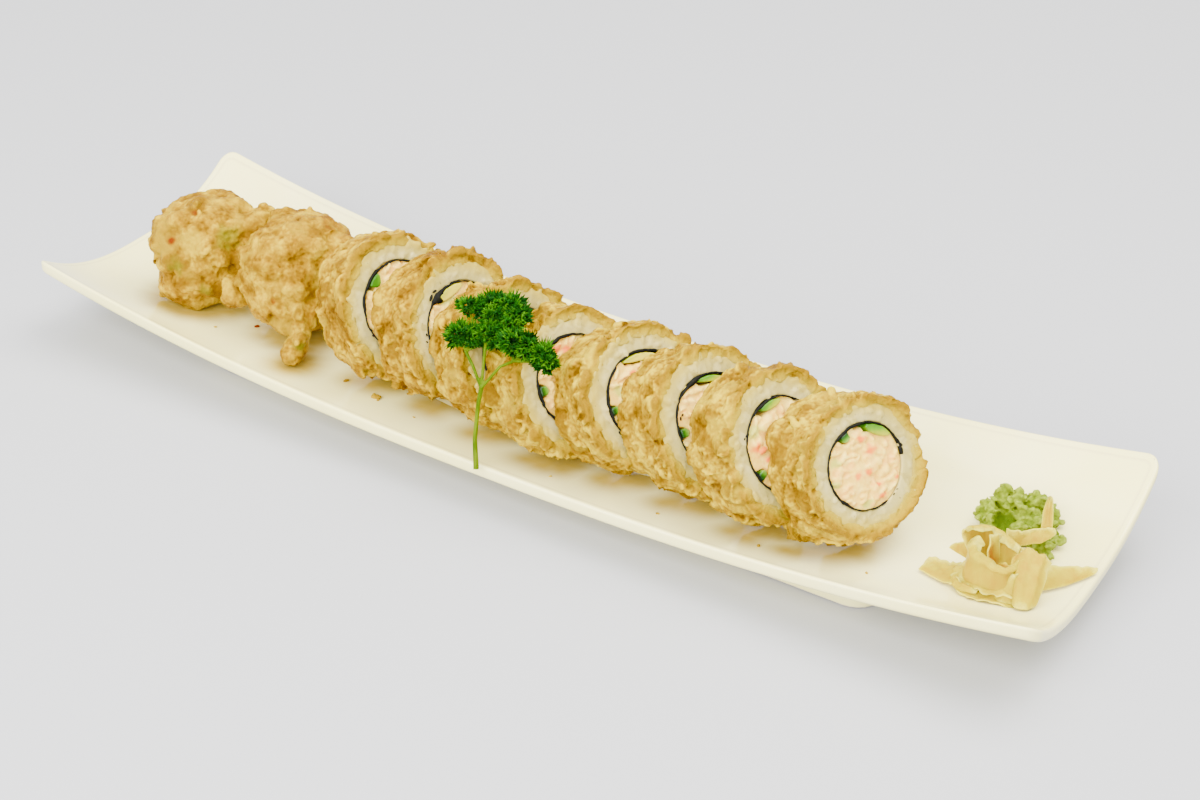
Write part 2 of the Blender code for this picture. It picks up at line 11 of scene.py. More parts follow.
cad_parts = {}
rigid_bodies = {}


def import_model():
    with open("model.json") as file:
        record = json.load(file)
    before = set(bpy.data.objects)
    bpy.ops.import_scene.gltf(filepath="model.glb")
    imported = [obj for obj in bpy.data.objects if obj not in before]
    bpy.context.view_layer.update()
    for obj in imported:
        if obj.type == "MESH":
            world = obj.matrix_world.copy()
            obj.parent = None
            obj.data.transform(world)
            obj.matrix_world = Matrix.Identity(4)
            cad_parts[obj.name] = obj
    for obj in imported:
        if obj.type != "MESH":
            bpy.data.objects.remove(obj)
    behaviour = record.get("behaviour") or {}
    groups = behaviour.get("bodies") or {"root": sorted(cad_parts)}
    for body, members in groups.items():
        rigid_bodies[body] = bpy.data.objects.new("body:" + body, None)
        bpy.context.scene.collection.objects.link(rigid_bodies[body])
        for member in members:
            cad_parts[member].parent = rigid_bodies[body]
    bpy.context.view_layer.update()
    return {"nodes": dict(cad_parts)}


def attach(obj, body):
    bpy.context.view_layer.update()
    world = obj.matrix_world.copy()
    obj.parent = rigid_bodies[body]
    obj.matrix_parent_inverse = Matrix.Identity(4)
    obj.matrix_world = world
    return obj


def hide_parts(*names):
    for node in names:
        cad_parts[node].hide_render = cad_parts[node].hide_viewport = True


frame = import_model()

MM = 0.001

# The plate, as the solid has it
PLATE_LENGTH = 385 * MM
PLATE_WIDTH = 108.4 * MM
PLATE_THICKNESS = 4.8 * MM
RIM_HEIGHT = 18 * MM
CORNER_RISE = 17.0 * MM
END_HEIGHT = 18.6 * MM
BASIN_HEIGHT = 11 * MM
LONG_CURVE = 2.43
CROSS_CURVE = 2.63
CORNER_RADIUS = 5.5 * MM
FOOT_LENGTH = 266 * MM
FOOT_WIDTH = 68 * MM
FOOT_WALL = 5 * MM
FOOT_CORNER = 10 * MM
FOOT_TOP = 11.8 * MM

# How each cut face is turned to the front and tilted up, and on the face, in degrees
# anticlockwise from the right: where the seaweed starts and how far it runs, the avocado
# and the cucumber. Some avocado is seen over a shorter span, slimmer or riper
SLICES = {
    3: dict(turn=19, tilt=25, nori=(5, 300), avocado=(118, 158), shown=(114, 137), ripe=-0.45),
    4: dict(turn=14, tilt=26, nori=(20, 300), avocado=(72, 124), cucumber=(186, 206), ripe=0.45),
    5: dict(turn=20, tilt=30, nori=(40, 285)),
    6: dict(turn=20, tilt=31, nori=(48, 280), cucumber=(166, 188)),
    7: dict(turn=20, tilt=31, nori=(30, 300), avocado=(50, 112), cucumber=(172, 190), slim=0.75, ripe=0.5),
    8: dict(turn=21, tilt=31, nori=(44, 290), avocado=(54, 104), cucumber=(170, 190), slim=0.6),
    9: dict(
        turn=18, tilt=31, nori=(46, 280), avocado=(84, 124), cucumber=(196, 214), shown=(74, 112), slim=0.75
    ),
    10: dict(
        turn=20, tilt=31, nori=(-6, 292), avocado=(42, 92), cucumber=(100, 122), shown=(28, 74), ripe=-0.05
    ),
}
NORI_RADIUS = 15.3
FILLING_RADIUS = 14.6
AVOCADO_DEPTH = 3.6
CUCUMBER_DEPTH = 4.2
# How much of its depth and span the cucumber shows
CUCUMBER_SHOWN = 0.75
# How many lumps, grains, shreds and crumbs the pieces get
SLICE_LUMPS = 120
RIM_LUMPS = 44
END_LUMPS = 190
RICE_GRAINS = 130
FRONT_SHREDS = 130
BACK_SHREDS = 60
WASABI_CRUMBS = 360
# From how far off, in mm, lumps are shot at a piece
SLICE_SHOT = 40
END_SHOT = 80


# Helpers


def pick(piece):
    """Select one piece alone."""
    bpy.ops.object.select_all(action="DESELECT")
    piece.select_set(True)
    bpy.context.view_layer.objects.active = piece


def use_modifier(piece, kind, **settings):
    pick(piece)
    step = piece.modifiers.new(kind.lower(), kind)
    for key, value in settings.items():
        setattr(step, key, value)
    bpy.ops.object.modifier_apply(modifier=step.name)


def new_piece(name, mesh):
    made = bpy.data.objects.new(name, mesh)
    bpy.context.scene.collection.objects.link(made)
    return made


def cast_from(node, name):
    """A copy of a solid with its loose triangles joined up."""
    made = new_piece(name, frame["nodes"][node].data.copy())
    made.data.materials.clear()
    pick(made)
    bpy.ops.object.mode_set(mode="EDIT")
    bpy.ops.mesh.select_all(action="SELECT")
    bpy.ops.mesh.remove_doubles(threshold=0.00001)
    bpy.ops.object.mode_set(mode="OBJECT")
    return made


def places(piece):
    co = np.empty(len(piece.data.vertices) * 3)
    piece.data.vertices.foreach_get("co", co)
    return co.reshape(-1, 3)


def move_to(piece, co):
    piece.data.vertices.foreach_set("co", co.ravel())
    piece.data.update()


def facings(piece):
    normals = np.empty(len(piece.data.vertices) * 3)
    piece.data.vertex_normals.foreach_get("vector", normals)
    return normals.reshape(-1, 3)


def paint(piece, name, values):
    """Store one number for each point, for a material to read."""
    layer = piece.data.attributes.new(name, "FLOAT", "POINT")
    layer.data.foreach_set("value", np.asarray(values, np.float32))


def join(body, *others):
    pick(body)
    for other in others:
        other.select_set(True)
    bpy.ops.object.join()
    return body


def scattered(name, form, matrices):
    """One mesh of many copies of a form."""
    co = places(form)
    count = len(co)
    faces = [tuple(face.vertices) for face in form.data.polygons]
    points = []
    all_faces = []
    for k, matrix in enumerate(matrices):
        turn = np.array(matrix.to_3x3())
        points.append(co @ turn.T + np.array(matrix.translation))
        all_faces += [tuple(i + k * count for i in face) for face in faces]
    mesh = bpy.data.meshes.new(name)
    mesh.from_pydata(np.concatenate(points), [], all_faces)
    return new_piece(name, mesh)


def crumb_texture(kind, size, **settings):
    texture = bpy.data.textures.new(f"{kind.lower()}_{size}", kind)
    texture.noise_scale = size * MM
    for key, value in settings.items():
        setattr(texture, key, value)
    return texture


def roughen(piece, texture, height):
    use_modifier(piece, "DISPLACE", texture=texture, strength=height * MM, mid_level=0.5)


def relief(piece, rounds):
    """How far each point stands out of the smoothed surface, in mm."""
    smoothed = new_piece("smoothed", piece.data.copy())
    use_modifier(smoothed, "SMOOTH", factor=0.5, iterations=rounds)
    stands = ((places(piece) - places(smoothed)) * facings(piece)).sum(1) / MM
    bpy.data.objects.remove(smoothed)
    return stands


def surface_tree(piece):
    """For shooting rays at a piece."""
    return BVHTree.FromPolygons(
        [v.co for v in piece.data.vertices], [tuple(f.vertices) for f in piece.data.polygons]
    )


def smooth_step(low, high, values):
    share = np.clip((values - low) / (high - low), 0, 1)
    return share * share * (3 - 2 * share)


def plate_height(x, y):
    """Height of the plate's top face."""
    along = np.minimum(np.abs(2 * x / PLATE_LENGTH), 1)
    across = np.minimum(np.abs(2 * y / PLATE_WIDTH), 1)
    rim = RIM_HEIGHT + CORNER_RISE * along**LONG_CURVE
    middle = BASIN_HEIGHT + (END_HEIGHT - BASIN_HEIGHT) * along**LONG_CURVE
    return middle + (rim - middle) * across**CROSS_CURVE


def settle(piece):
    """Flatten what would sink into the plate onto its surface."""
    co = places(piece)
    floor = plate_height(co[:, 0], co[:, 1]) + 0.08 * MM
    co[:, 2] = np.maximum(co[:, 2], floor)
    move_to(piece, co)


def balls(name, detail, matrices):
    """One mesh of balls, each placed and stretched by its matrix."""
    bpy.ops.object.select_all(action="DESELECT")
    bpy.ops.mesh.primitive_ico_sphere_add(subdivisions=detail, radius=1)
    ball = bpy.context.object
    made = scattered(name, ball, matrices)
    bpy.data.objects.remove(ball)
    return made


def laid(spot, out, scale, spin):
    """Where a small piece goes: standing on a surface, turned and stretched."""
    turn = Vector(out).to_track_quat("Z", "Y").to_matrix().to_4x4()
    return Matrix.Translation(spot) @ turn @ Matrix.Rotation(spin, 4, "Z") @ Matrix.Diagonal((*scale, 1))


# The share of a piece's faces that is kept, as its flat and hidden sides need few
FACES_KEPT = {"crust": 0.78, "rice": 0.5, "crab": 0.55, "ginger": 0.5, "wasabi": 0.8}


def finish_piece(piece, material, slot, *nodes):
    """Give a finished piece its material and its place in the frame."""
    if slot in FACES_KEPT:
        use_modifier(piece, "DECIMATE", ratio=FACES_KEPT[slot])
    piece.data.materials.clear()
    piece.data.materials.append(material)
    pick(piece)
    bpy.ops.object.shade_smooth()
    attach(piece, "root")
    if nodes:
        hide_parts(*nodes)
    return piece


# Materials


def surface(name, roughness, scatter=0.0, depth=(1, 1, 1), scale=1.0, gloss=0.25, tint=(1, 1, 1)):
    made = bpy.data.materials.new(name)
    made.use_nodes = True
    shader = made.node_tree.nodes["Principled BSDF"]
    shader.inputs["Roughness"].default_value = roughness
    shader.inputs["Specular IOR Level"].default_value = gloss
    shader.inputs["Specular Tint"].default_value = (*tint, 1)
    shader.inputs["Subsurface Weight"].default_value = scatter
    shader.inputs["Subsurface Radius"].default_value = depth
    shader.inputs["Subsurface Scale"].default_value = scale * MM
    return made


def node(made, kind, **settings):
    added = made.node_tree.nodes.new(kind)
    for key, value in settings.items():
        setattr(added, key, value)
    return added


def wire(made, source, target):
    made.node_tree.links.new(source, target)


def object_spot(made):
    return node(made, "ShaderNodeTexCoord").outputs["Object"]


def speckle_group():
    """The uneven patches that every food and the glaze share."""
    group = bpy.data.node_groups.new("speckle", "ShaderNodeTree")
    sockets = group.interface
    sockets.new_socket("Spot", in_out="INPUT", socket_type="NodeSocketVector")
    sockets.new_socket("Stretch", in_out="INPUT", socket_type="NodeSocketVector")
    for name in ("Size", "Detail", "Roughness"):
        sockets.new_socket(name, in_out="INPUT", socket_type="NodeSocketFloat")
    sockets.new_socket("Amount", in_out="OUTPUT", socket_type="NodeSocketFloat")
    given = group.nodes.new("NodeGroupInput").outputs
    taken = group.nodes.new("NodeGroupOutput").inputs
    mapping = group.nodes.new("ShaderNodeMapping")
    scale = group.nodes.new("ShaderNodeMath")
    scale.operation = "DIVIDE"
    scale.inputs[0].default_value = 1 / MM
    grain = group.nodes.new("ShaderNodeTexNoise")
    for source, target in (
        (given["Spot"], mapping.inputs["Vector"]),
        (given["Stretch"], mapping.inputs["Scale"]),
        (given["Size"], scale.inputs[1]),
        (mapping.outputs["Vector"], grain.inputs["Vector"]),
        (scale.outputs["Value"], grain.inputs["Scale"]),
        (given["Detail"], grain.inputs["Detail"]),
        (given["Roughness"], grain.inputs["Roughness"]),
        (grain.outputs["Fac"], taken["Amount"]),
    ):
        group.links.new(source, target)
    return group


def speckle(made, size, detail=3.0, rough=0.55, stretch=(1, 1, 1)):
    """Noise with patches of about this size, in mm."""
    added = node(made, "ShaderNodeGroup", node_tree=SPECKLE)
    wire(made, object_spot(made), added.inputs["Spot"])
    for name, value in (("Size", size), ("Detail", detail), ("Roughness", rough), ("Stretch", stretch)):
        added.inputs[name].default_value = value
    return added.outputs["Amount"]


def painted(made, name):
    return node(made, "ShaderNodeAttribute", attribute_name=name).outputs["Fac"]


def ramp(made, value, *stops):
    """Colours along a value: each stop is a place and a colour."""
    added = node(made, "ShaderNodeValToRGB")
    band = added.color_ramp
    while len(band.elements) < len(stops):
        band.elements.new(0.5)
    for element, (place, colour) in zip(band.elements, stops):
        element.position = place
        element.color = (*colour, 1)
    wire(made, value, added.inputs["Fac"])
    return added.outputs["Color"]


def share(made, value, low, high, top=1.0):
    """Turn a value between low and high into 0 to top."""
    added = node(made, "ShaderNodeMapRange", clamp=True)
    added.inputs["From Min"].default_value = low
    added.inputs["From Max"].default_value = high
    added.inputs["To Max"].default_value = top
    wire(made, value, added.inputs["Value"])
    return added.outputs["Result"]


def blend_colour(made, amount, first, second, kind="MIX"):
    added = node(made, "ShaderNodeMix", data_type="RGBA", blend_type=kind)
    wire(made, amount, added.inputs["Factor"])
    for source, target in ((first, added.inputs[6]), (second, added.inputs[7])):
        if isinstance(source, tuple):
            target.default_value = (*source, 1)
        else:
            wire(made, source, target)
    return added.outputs[2]


def add_up(made, *terms):
    """Sum of values, each with its weight."""
    total = None
    for value, weight in terms:
        added = node(made, "ShaderNodeMath", operation="MULTIPLY_ADD")
        wire(made, value, added.inputs[0])
        added.inputs[1].default_value = weight
        added.inputs[2].default_value = 0
        if total:
            wire(made, total, added.inputs[2])
        total = added.outputs[0]
    return total


def shaded(made, colour=None, height=None, bump=0.5, reach=0.3, rough=None):
    """Wire a colour, a bump height and a roughness to the shader."""
    shader = made.node_tree.nodes["Principled BSDF"]
    if colour is not None:
        wire(made, colour, shader.inputs["Base Color"])
    if rough is not None:
        wire(made, rough, shader.inputs["Roughness"])
    if height is not None:
        added = node(made, "ShaderNodeBump")
        added.inputs["Strength"].default_value = bump
        added.inputs["Distance"].default_value = reach * MM
        wire(made, height, added.inputs["Height"])
        wire(made, added.outputs["Normal"], shader.inputs["Normal"])
    return made


def fried_batter():
    made = surface(
        "fried_batter", 0.4, scatter=0.2, depth=(1.0, 0.6, 0.1), scale=1.5, gloss=0.05, tint=(1.0, 0.7, 0.1)
    )
    # The batter's hollows are painted darker as painted shade, and its crests lighter
    crest = painted(made, "crest")
    patches = speckle(made, 7, detail=3)
    fine = speckle(made, 1.3, detail=4, rough=0.65)
    level = add_up(made, (crest, 0.65), (patches, 1.4), (fine, 0.35))
    fried = ramp(
        made,
        share(made, level, 0.85, 1.5),
        (0.05, (0.09, 0.038, 0.0)),
        (0.35, (0.21, 0.110, 0.0)),
        (0.60, (0.31, 0.184, 0.0)),
        (0.95, (0.50, 0.350, 0.005)),
    )
    golden = share(made, speckle(made, 10, detail=3), 0.52, 0.61, 0.85)
    fried = blend_colour(made, golden, fried, (0.155, 0.074, 0.0))
    pale = share(made, speckle(made, 12.5, detail=3), 0.55, 0.66, 0.6)
    fried = blend_colour(made, pale, fried, (0.40, 0.280, 0.005))
    fried = blend_colour(made, painted(made, "warm"), fried, (0.82, 0.66, 0.0), kind="MULTIPLY")
    fried = blend_colour(made, painted(made, "greens"), fried, (0.12, 0.115, 0.0))
    fried = blend_colour(made, painted(made, "reds"), fried, (0.13, 0.018, 0.0))
    cut = ramp(
        made,
        add_up(made, (painted(made, "rim"), 1.0), (fine, 0.35)),
        (0.22, (0.36, 0.27, 0.03)),
        (0.45, (0.36, 0.245, 0.005)),
        (0.72, (0.31, 0.190, 0.0)),
        (1.0, (0.22, 0.120, 0.0)),
    )
    colour = blend_colour(made, painted(made, "cut"), fried, cut)
    grain = add_up(made, (speckle(made, 0.8, detail=5, rough=0.75), 0.8), (speckle(made, 3.0, detail=3), 0.5))
    rough = share(made, speckle(made, 2.4), 0.3, 0.7)
    rough = ramp(made, rough, (0.0, (0.22, 0.22, 0.22)), (1.0, (0.5, 0.5, 0.5)))
    return shaded(made, colour, grain, bump=0.75, reach=0.5, rough=rough)


def cooked_rice():
    made = surface(
        "cooked_rice", 0.38, scatter=0.45, depth=(1.0, 0.95, 0.6), scale=2.6, gloss=0.2, tint=(1.0, 0.95, 0.7)
    )
    # The rice is painted darker where it dips between the grains, as painted shade; the tint differs at
    # random from grain to grain
    tone = add_up(
        made,
        (painted(made, "tint"), 0.4),
        (painted(made, "crest"), 0.4),
        (speckle(made, 1.1), 0.3),
    )
    colour = ramp(
        made,
        tone,
        (0.20, (0.28, 0.22, 0.055)),
        (0.50, (0.39, 0.315, 0.085)),
        (0.90, (0.50, 0.42, 0.16)),
    )
    stained = share(made, painted(made, "rim"), 0.35, 0.95, 0.95)
    colour = blend_colour(made, stained, colour, (0.40, 0.295, 0.03))
    specks = share(made, speckle(made, 1.8, detail=2), 0.70, 0.74, 0.7)
    colour = blend_colour(made, specks, colour, (0.13, 0.11, 0.02))
    return shaded(made, colour, speckle(made, 0.7, detail=4), bump=0.3, reach=0.2)


def crab_meat():
    made = surface(
        "crab_meat", 0.4, scatter=0.4, depth=(1.0, 0.7, 0.4), scale=2.2, gloss=0.2, tint=(1.0, 0.9, 0.6)
    )
    # The crab is painted darker where it dips between the shreds, as painted shade
    tone = add_up(made, (painted(made, "crest"), 0.6), (speckle(made, 1.6, detail=4), 0.6))
    cream = ramp(
        made,
        tone,
        (0.25, (0.52, 0.28, 0.01)),
        (0.55, (0.76, 0.47, 0.05)),
        (0.9, (0.88, 0.64, 0.13)),
    )
    blush = share(made, speckle(made, 4.5, detail=2), 0.50, 0.64, 0.5)
    colour = blend_colour(made, blush, cream, (0.78, 0.36, 0.06))
    white = share(made, speckle(made, 6.5, detail=3), 0.52, 0.62, 0.6)
    colour = blend_colour(made, white, colour, (0.84, 0.62, 0.13))
    colour = blend_colour(made, painted(made, "pale"), colour, (0.43, 0.43, 0.05))
    colour = blend_colour(made, painted(made, "coral"), colour, (0.70, 0.10, 0.002))
    fibres = speckle(made, 1.2, detail=4, rough=0.6, stretch=(0.35, 1.0, 1.0))
    return shaded(made, colour, fibres, bump=0.35, reach=0.3)


def seaweed():
    made = surface("seaweed", 0.6, gloss=0.08)
    colour = ramp(
        made,
        speckle(made, 1.5, detail=4),
        (0.35, (0.002, 0.002, 0.001)),
        (0.7, (0.008, 0.008, 0.004)),
    )
    return shaded(made, colour, speckle(made, 0.6, detail=4), bump=0.7, reach=0.25)


def ripe_avocado():
    made = surface("ripe_avocado", 0.33, scatter=0.15, depth=(0.7, 1.0, 0.25), scale=1.5)
    tone = add_up(made, (painted(made, "flesh"), 0.85), (speckle(made, 2.5), 0.3))
    colour = ramp(
        made,
        tone,
        (0.18, (0.025, 0.11, 0.0)),
        (0.45, (0.085, 0.21, 0.0)),
        (0.74, (0.33, 0.32, 0.002)),
        (1.0, (0.52, 0.42, 0.02)),
    )
    return shaded(made, colour, speckle(made, 0.8), bump=0.25, reach=0.2)


def sliced_cucumber():
    made = surface("sliced_cucumber", 0.28, scatter=0.3, depth=(0.6, 1.0, 0.3), scale=1.5)
    tone = add_up(made, (painted(made, "flesh"), 1.0), (speckle(made, 1.2), 0.2))
    colour = ramp(
        made,
        tone,
        (0.20, (0.004, 0.03, 0.001)),
        (0.42, (0.018, 0.09, 0.002)),
        (0.66, (0.08, 0.19, 0.006)),
        (1.0, (0.24, 0.32, 0.04)),
    )
    return shaded(made, colour, speckle(made, 0.8), bump=0.2, reach=0.2)


def glazed_plate():
    made = surface("glazed_plate", 0.2, scatter=0.05, depth=(1, 0.9, 0.7), scale=2, gloss=0.35)
    shader = made.node_tree.nodes["Principled BSDF"]
    shader.inputs["Coat Weight"].default_value = 0.4
    shader.inputs["Coat Roughness"].default_value = 0.08
    glaze = ramp(
        made,
        speckle(made, 45, detail=3),
        (0.35, (0.89, 0.80, 0.29)),
        (0.65, (0.91, 0.83, 0.36)),
    )
    spots = share(made, speckle(made, 1.8, detail=2), 0.70, 0.76, 0.25)
    glaze = blend_colour(made, spots, glaze, (0.62, 0.53, 0.38))
    # A thin groove round the rim, pressed in as a bump, with its shade painted as a darker line in the glaze
    line = ramp(
        made,
        share(made, painted(made, "inside"), 0.0, 10.0),
        (0.22, (0.0, 0.0, 0.0)),
        (0.27, (1.0, 1.0, 1.0)),
        (0.36, (0.0, 0.0, 0.0)),
    )
    glaze = blend_colour(made, share(made, line, 0.0, 1.0, 0.4), glaze, (0.60, 0.50, 0.22))
    # Round where the batter rests the glaze is painted a dark golden: partly oil, partly painted golden shade
    # under the rolls
    oil = share(made, painted(made, "oil"), 0.0, 1.0, 0.92)
    glaze = blend_colour(made, oil, glaze, (0.38, 0.235, 0.0))
    split = node(made, "ShaderNodeSeparateXYZ")
    wire(made, object_spot(made), split.inputs[0])
    bare = share(made, split.outputs["Z"], 1.1 * MM, 0.7 * MM)
    colour = blend_colour(made, bare, glaze, (0.58, 0.50, 0.38))
    rough = ramp(made, bare, (0.0, (0.19, 0.19, 0.19)), (1.0, (0.8, 0.8, 0.8)))
    ripple = add_up(
        made,
        (speckle(made, 12, detail=2), 1.0),
        (speckle(made, 1.0, detail=2), 0.06),
        (line, -0.5),
    )
    return shaded(made, colour, ripple, bump=0.12, reach=0.6, rough=rough)


def wasabi_paste():
    made = surface(
        "wasabi_paste", 0.6, scatter=0.15, depth=(0.6, 1.0, 0.2), scale=1.2, gloss=0.15, tint=(0.9, 1.0, 0.3)
    )
    # The paste is painted darker in its crevices as painted shade, and lighter on the crumbs that stand out
    tone = add_up(made, (painted(made, "crest"), 0.85), (speckle(made, 2.2, detail=4), 0.4))
    colour = ramp(
        made,
        tone,
        (0.25, (0.025, 0.045, 0.0)),
        (0.48, (0.085, 0.125, 0.0)),
        (0.72, (0.17, 0.215, 0.008)),
        (1.0, (0.28, 0.33, 0.045)),
    )
    colour = blend_colour(made, painted(made, "pressed"), colour, (0.055, 0.095, 0.0))
    return shaded(made, colour, speckle(made, 0.7, detail=5, rough=0.7), bump=0.8, reach=0.45)


def pickled_ginger():
    made = surface(
        "pickled_ginger",
        0.3,
        scatter=0.5,
        depth=(1.0, 0.8, 0.15),
        scale=3.0,
        gloss=0.07,
        tint=(1.0, 0.85, 0.2),
    )
    fibres = speckle(made, 3.0, detail=4, rough=0.6, stretch=(1.0, 1.0, 0.3))
    # Sheets are painted paler at their edges as a painted highlight, and darker at their foot and deep in the
    # rose as painted shade
    tone = add_up(
        made,
        (painted(made, "edge"), 0.6),
        (painted(made, "lift"), 0.4),
        (fibres, 0.75),
        (painted(made, "deep"), -0.5),
    )
    colour = ramp(
        made,
        tone,
        (0.12, (0.29, 0.100, 0.0)),
        (0.42, (0.33, 0.205, 0.0)),
        (0.72, (0.39, 0.295, 0.0)),
        (1.0, (0.50, 0.420, 0.04)),
    )
    return shaded(made, colour, fibres, bump=0.25, reach=0.3)


def parsley_leaf():
    made = surface(
        "parsley_leaf", 0.36, scatter=0.05, depth=(0.4, 1.0, 0.2), scale=1.0, gloss=0.16, tint=(0.3, 1.0, 0.2)
    )
    # Leaflets are painted lighter towards their tips as a painted highlight; their tone differs at random
    # from leaflet to leaflet
    tone = add_up(
        made,
        (painted(made, "tip"), 0.35),
        (painted(made, "tone"), 0.55),
        (speckle(made, 2.0), 0.3),
    )
    colour = ramp(
        made,
        tone,
        (0.25, (0.0, 0.006, 0.0)),
        (0.55, (0.001, 0.020, 0.0)),
        (0.80, (0.004, 0.045, 0.0)),
        (1.0, (0.035, 0.12, 0.0)),
    )
    return shaded(made, colour, speckle(made, 0.5, detail=3), bump=0.4, reach=0.2)


def parsley_stalk():
    made = surface(
        "parsley_stalk", 0.35, scatter=0.2, depth=(0.6, 1.0, 0.1), scale=1.0, gloss=0.12, tint=(0.8, 1.0, 0.1)
    )
    colour = ramp(
        made,
        speckle(made, 4, detail=3, stretch=(1, 1, 0.3)),
        (0.35, (0.028, 0.065, 0.0)),
        (0.65, (0.085, 0.125, 0.0)),
    )
    return shaded(made, colour, speckle(made, 0.7), bump=0.2, reach=0.2)


# The plate


def make_plate(glaze):
    bpy.ops.object.select_all(action="DESELECT")
    bpy.ops.mesh.primitive_grid_add(x_subdivisions=230, y_subdivisions=66, size=2)
    plate = bpy.context.object
    plate.name = "glazed_tray"
    co = places(plate)
    co[:, 0] = np.sign(co[:, 0]) * np.abs(co[:, 0]) ** 0.93 * PLATE_LENGTH / 2
    co[:, 1] = np.sign(co[:, 1]) * np.abs(co[:, 1]) ** 0.93 * PLATE_WIDTH / 2
    beyond_x = np.abs(co[:, 0]) - (PLATE_LENGTH / 2 - CORNER_RADIUS)
    beyond_y = np.abs(co[:, 1]) - (PLATE_WIDTH / 2 - CORNER_RADIUS)
    corner = (beyond_x > 0) & (beyond_y > 0)
    pull = np.maximum(beyond_x, beyond_y) / np.hypot(beyond_x, beyond_y)
    for axis, half, beyond in ((0, PLATE_LENGTH / 2, beyond_x), (1, PLATE_WIDTH / 2, beyond_y)):
        rounded = np.sign(co[:, axis]) * (half - CORNER_RADIUS + beyond * pull)
        co[:, axis] = np.where(corner, rounded, co[:, axis])
    co[:, 2] = plate_height(co[:, 0], co[:, 1])
    move_to(plate, co)
    pick(plate)
    bpy.ops.object.mode_set(mode="EDIT")
    bpy.ops.mesh.select_all(action="SELECT")
    bpy.ops.mesh.extrude_region_move(TRANSFORM_OT_translate={"value": (0, 0, -PLATE_THICKNESS)})
    bpy.ops.mesh.select_all(action="SELECT")
    bpy.ops.mesh.normals_make_consistent(inside=False)
    bpy.ops.mesh.select_all(action="DESELECT")
    bpy.ops.mesh.select_mode(type="EDGE")
    bpy.ops.mesh.edges_select_sharp(sharpness=math.radians(50))
    bpy.ops.mesh.bevel(offset=1.9 * MM, segments=4, affect="EDGES", clamp_overlap=True)
    bpy.ops.object.mode_set(mode="OBJECT")
    bpy.ops.mesh.primitive_cube_add(size=1, location=(0, 0, FOOT_TOP / 2))
    foot = bpy.context.object
    foot.scale = (FOOT_LENGTH, FOOT_WIDTH, FOOT_TOP)
    pick(foot)
    bpy.ops.object.transform_apply(location=True, rotation=True, scale=True)
    bpy.ops.object.mode_set(mode="EDIT")
    bpy.ops.mesh.select_all(action="DESELECT")
    bpy.ops.object.mode_set(mode="OBJECT")
    for edge in foot.data.edges:
        ends = [foot.data.vertices[i].co for i in edge.vertices]
        edge.select = abs(ends[0].z - ends[1].z) > MM
    bpy.ops.object.mode_set(mode="EDIT")
    bpy.ops.mesh.select_mode(type="EDGE")
    bpy.ops.mesh.bevel(offset=FOOT_CORNER, segments=6, affect="EDGES")
    bpy.ops.mesh.select_all(action="DESELECT")
    bpy.ops.object.mode_set(mode="OBJECT")
    for face in foot.data.polygons:
        face.select = face.normal.z < -0.9
    bpy.ops.object.mode_set(mode="EDIT")
    bpy.ops.mesh.select_mode(type="FACE")
    bpy.ops.mesh.inset(thickness=FOOT_WALL)
    bpy.ops.mesh.extrude_region_move(TRANSFORM_OT_translate={"value": (0, 0, FOOT_TOP - 1.2 * MM)})
    bpy.ops.mesh.select_all(action="DESELECT")
    bpy.ops.object.mode_set(mode="OBJECT")
    for edge in foot.data.edges:
        edge.select = all(foot.data.vertices[i].co.z < 0.1 * MM for i in edge.vertices)
    bpy.ops.object.mode_set(mode="EDIT")
    bpy.ops.mesh.select_mode(type="EDGE")
    bpy.ops.mesh.bevel(offset=1.2 * MM, segments=3, affect="EDGES")
    bpy.ops.object.mode_set(mode="OBJECT")
    join(plate, foot)
    # Where the batter rests on the plate, for the oil and the painted golden shade round it
    rests = []
    for piece in bpy.data.objects:
        if piece.name.startswith("batter"):
            co = places(piece)
            low = co[:, 2] < plate_height(co[:, 0], co[:, 1]) + 5 * MM
            rests.append(co[low][::12])
    rests = np.concatenate(rests)
    tree = KDTree(len(rests))
    for i, spot in enumerate(rests):
        tree.insert((spot[0], spot[1], 0), i)
    tree.balance()
    co = places(plate)
    away = np.array([tree.find((x, y, 0))[2] for x, y, _ in co]) / MM
    above = co[:, 2] > plate_height(co[:, 0], co[:, 1]) - 1 * MM
    beyond = np.abs(co[:, :2]) - (PLATE_LENGTH / 2 - CORNER_RADIUS, PLATE_WIDTH / 2 - CORNER_RADIUS)
    outside = np.hypot(*np.maximum(beyond, 0).T) + np.minimum(beyond.max(1), 0)
    paint(plate, "inside", np.where(above, (CORNER_RADIUS - outside) / MM, 50))
    # The glaze nearest the batter gets oil and painted golden shade, fading out over about 13 mm
    paint(plate, "oil", smooth_step(13, -0.5, away) ** 1.4 * above)
    finish_piece(plate, glaze, "ceramic", "plate")
    bpy.ops.object.shade_smooth_by_angle(angle=math.radians(40))


# The slices


def slice_place(number):
    """Frame of a slice: right and up on its cut face, out of it, and the middle of the face."""
    turn, tilt = (math.radians(SLICES[number][key]) for key in ("turn", "tilt"))
    out = Vector((math.cos(tilt) * math.cos(turn), -math.cos(tilt) * math.sin(turn), math.sin(tilt)))
    right = Vector((0, 0, 1)).cross(out).normalized()
    co = np.unique(np.round(places(frame["nodes"][f"rice_{number:02d}"]), 6), axis=0)
    depth = co @ np.array(out)
    middle = Vector(co.mean(0))
    matrix = Matrix((right, out.cross(right), out)).transposed().to_4x4()
    matrix.translation = middle + out * (depth.max() - middle.dot(out))
    return matrix, float(depth.max() - depth.min())


# Slices pressed flat at the front: how much of their height is left there
PRESSED = {10: 0.87}


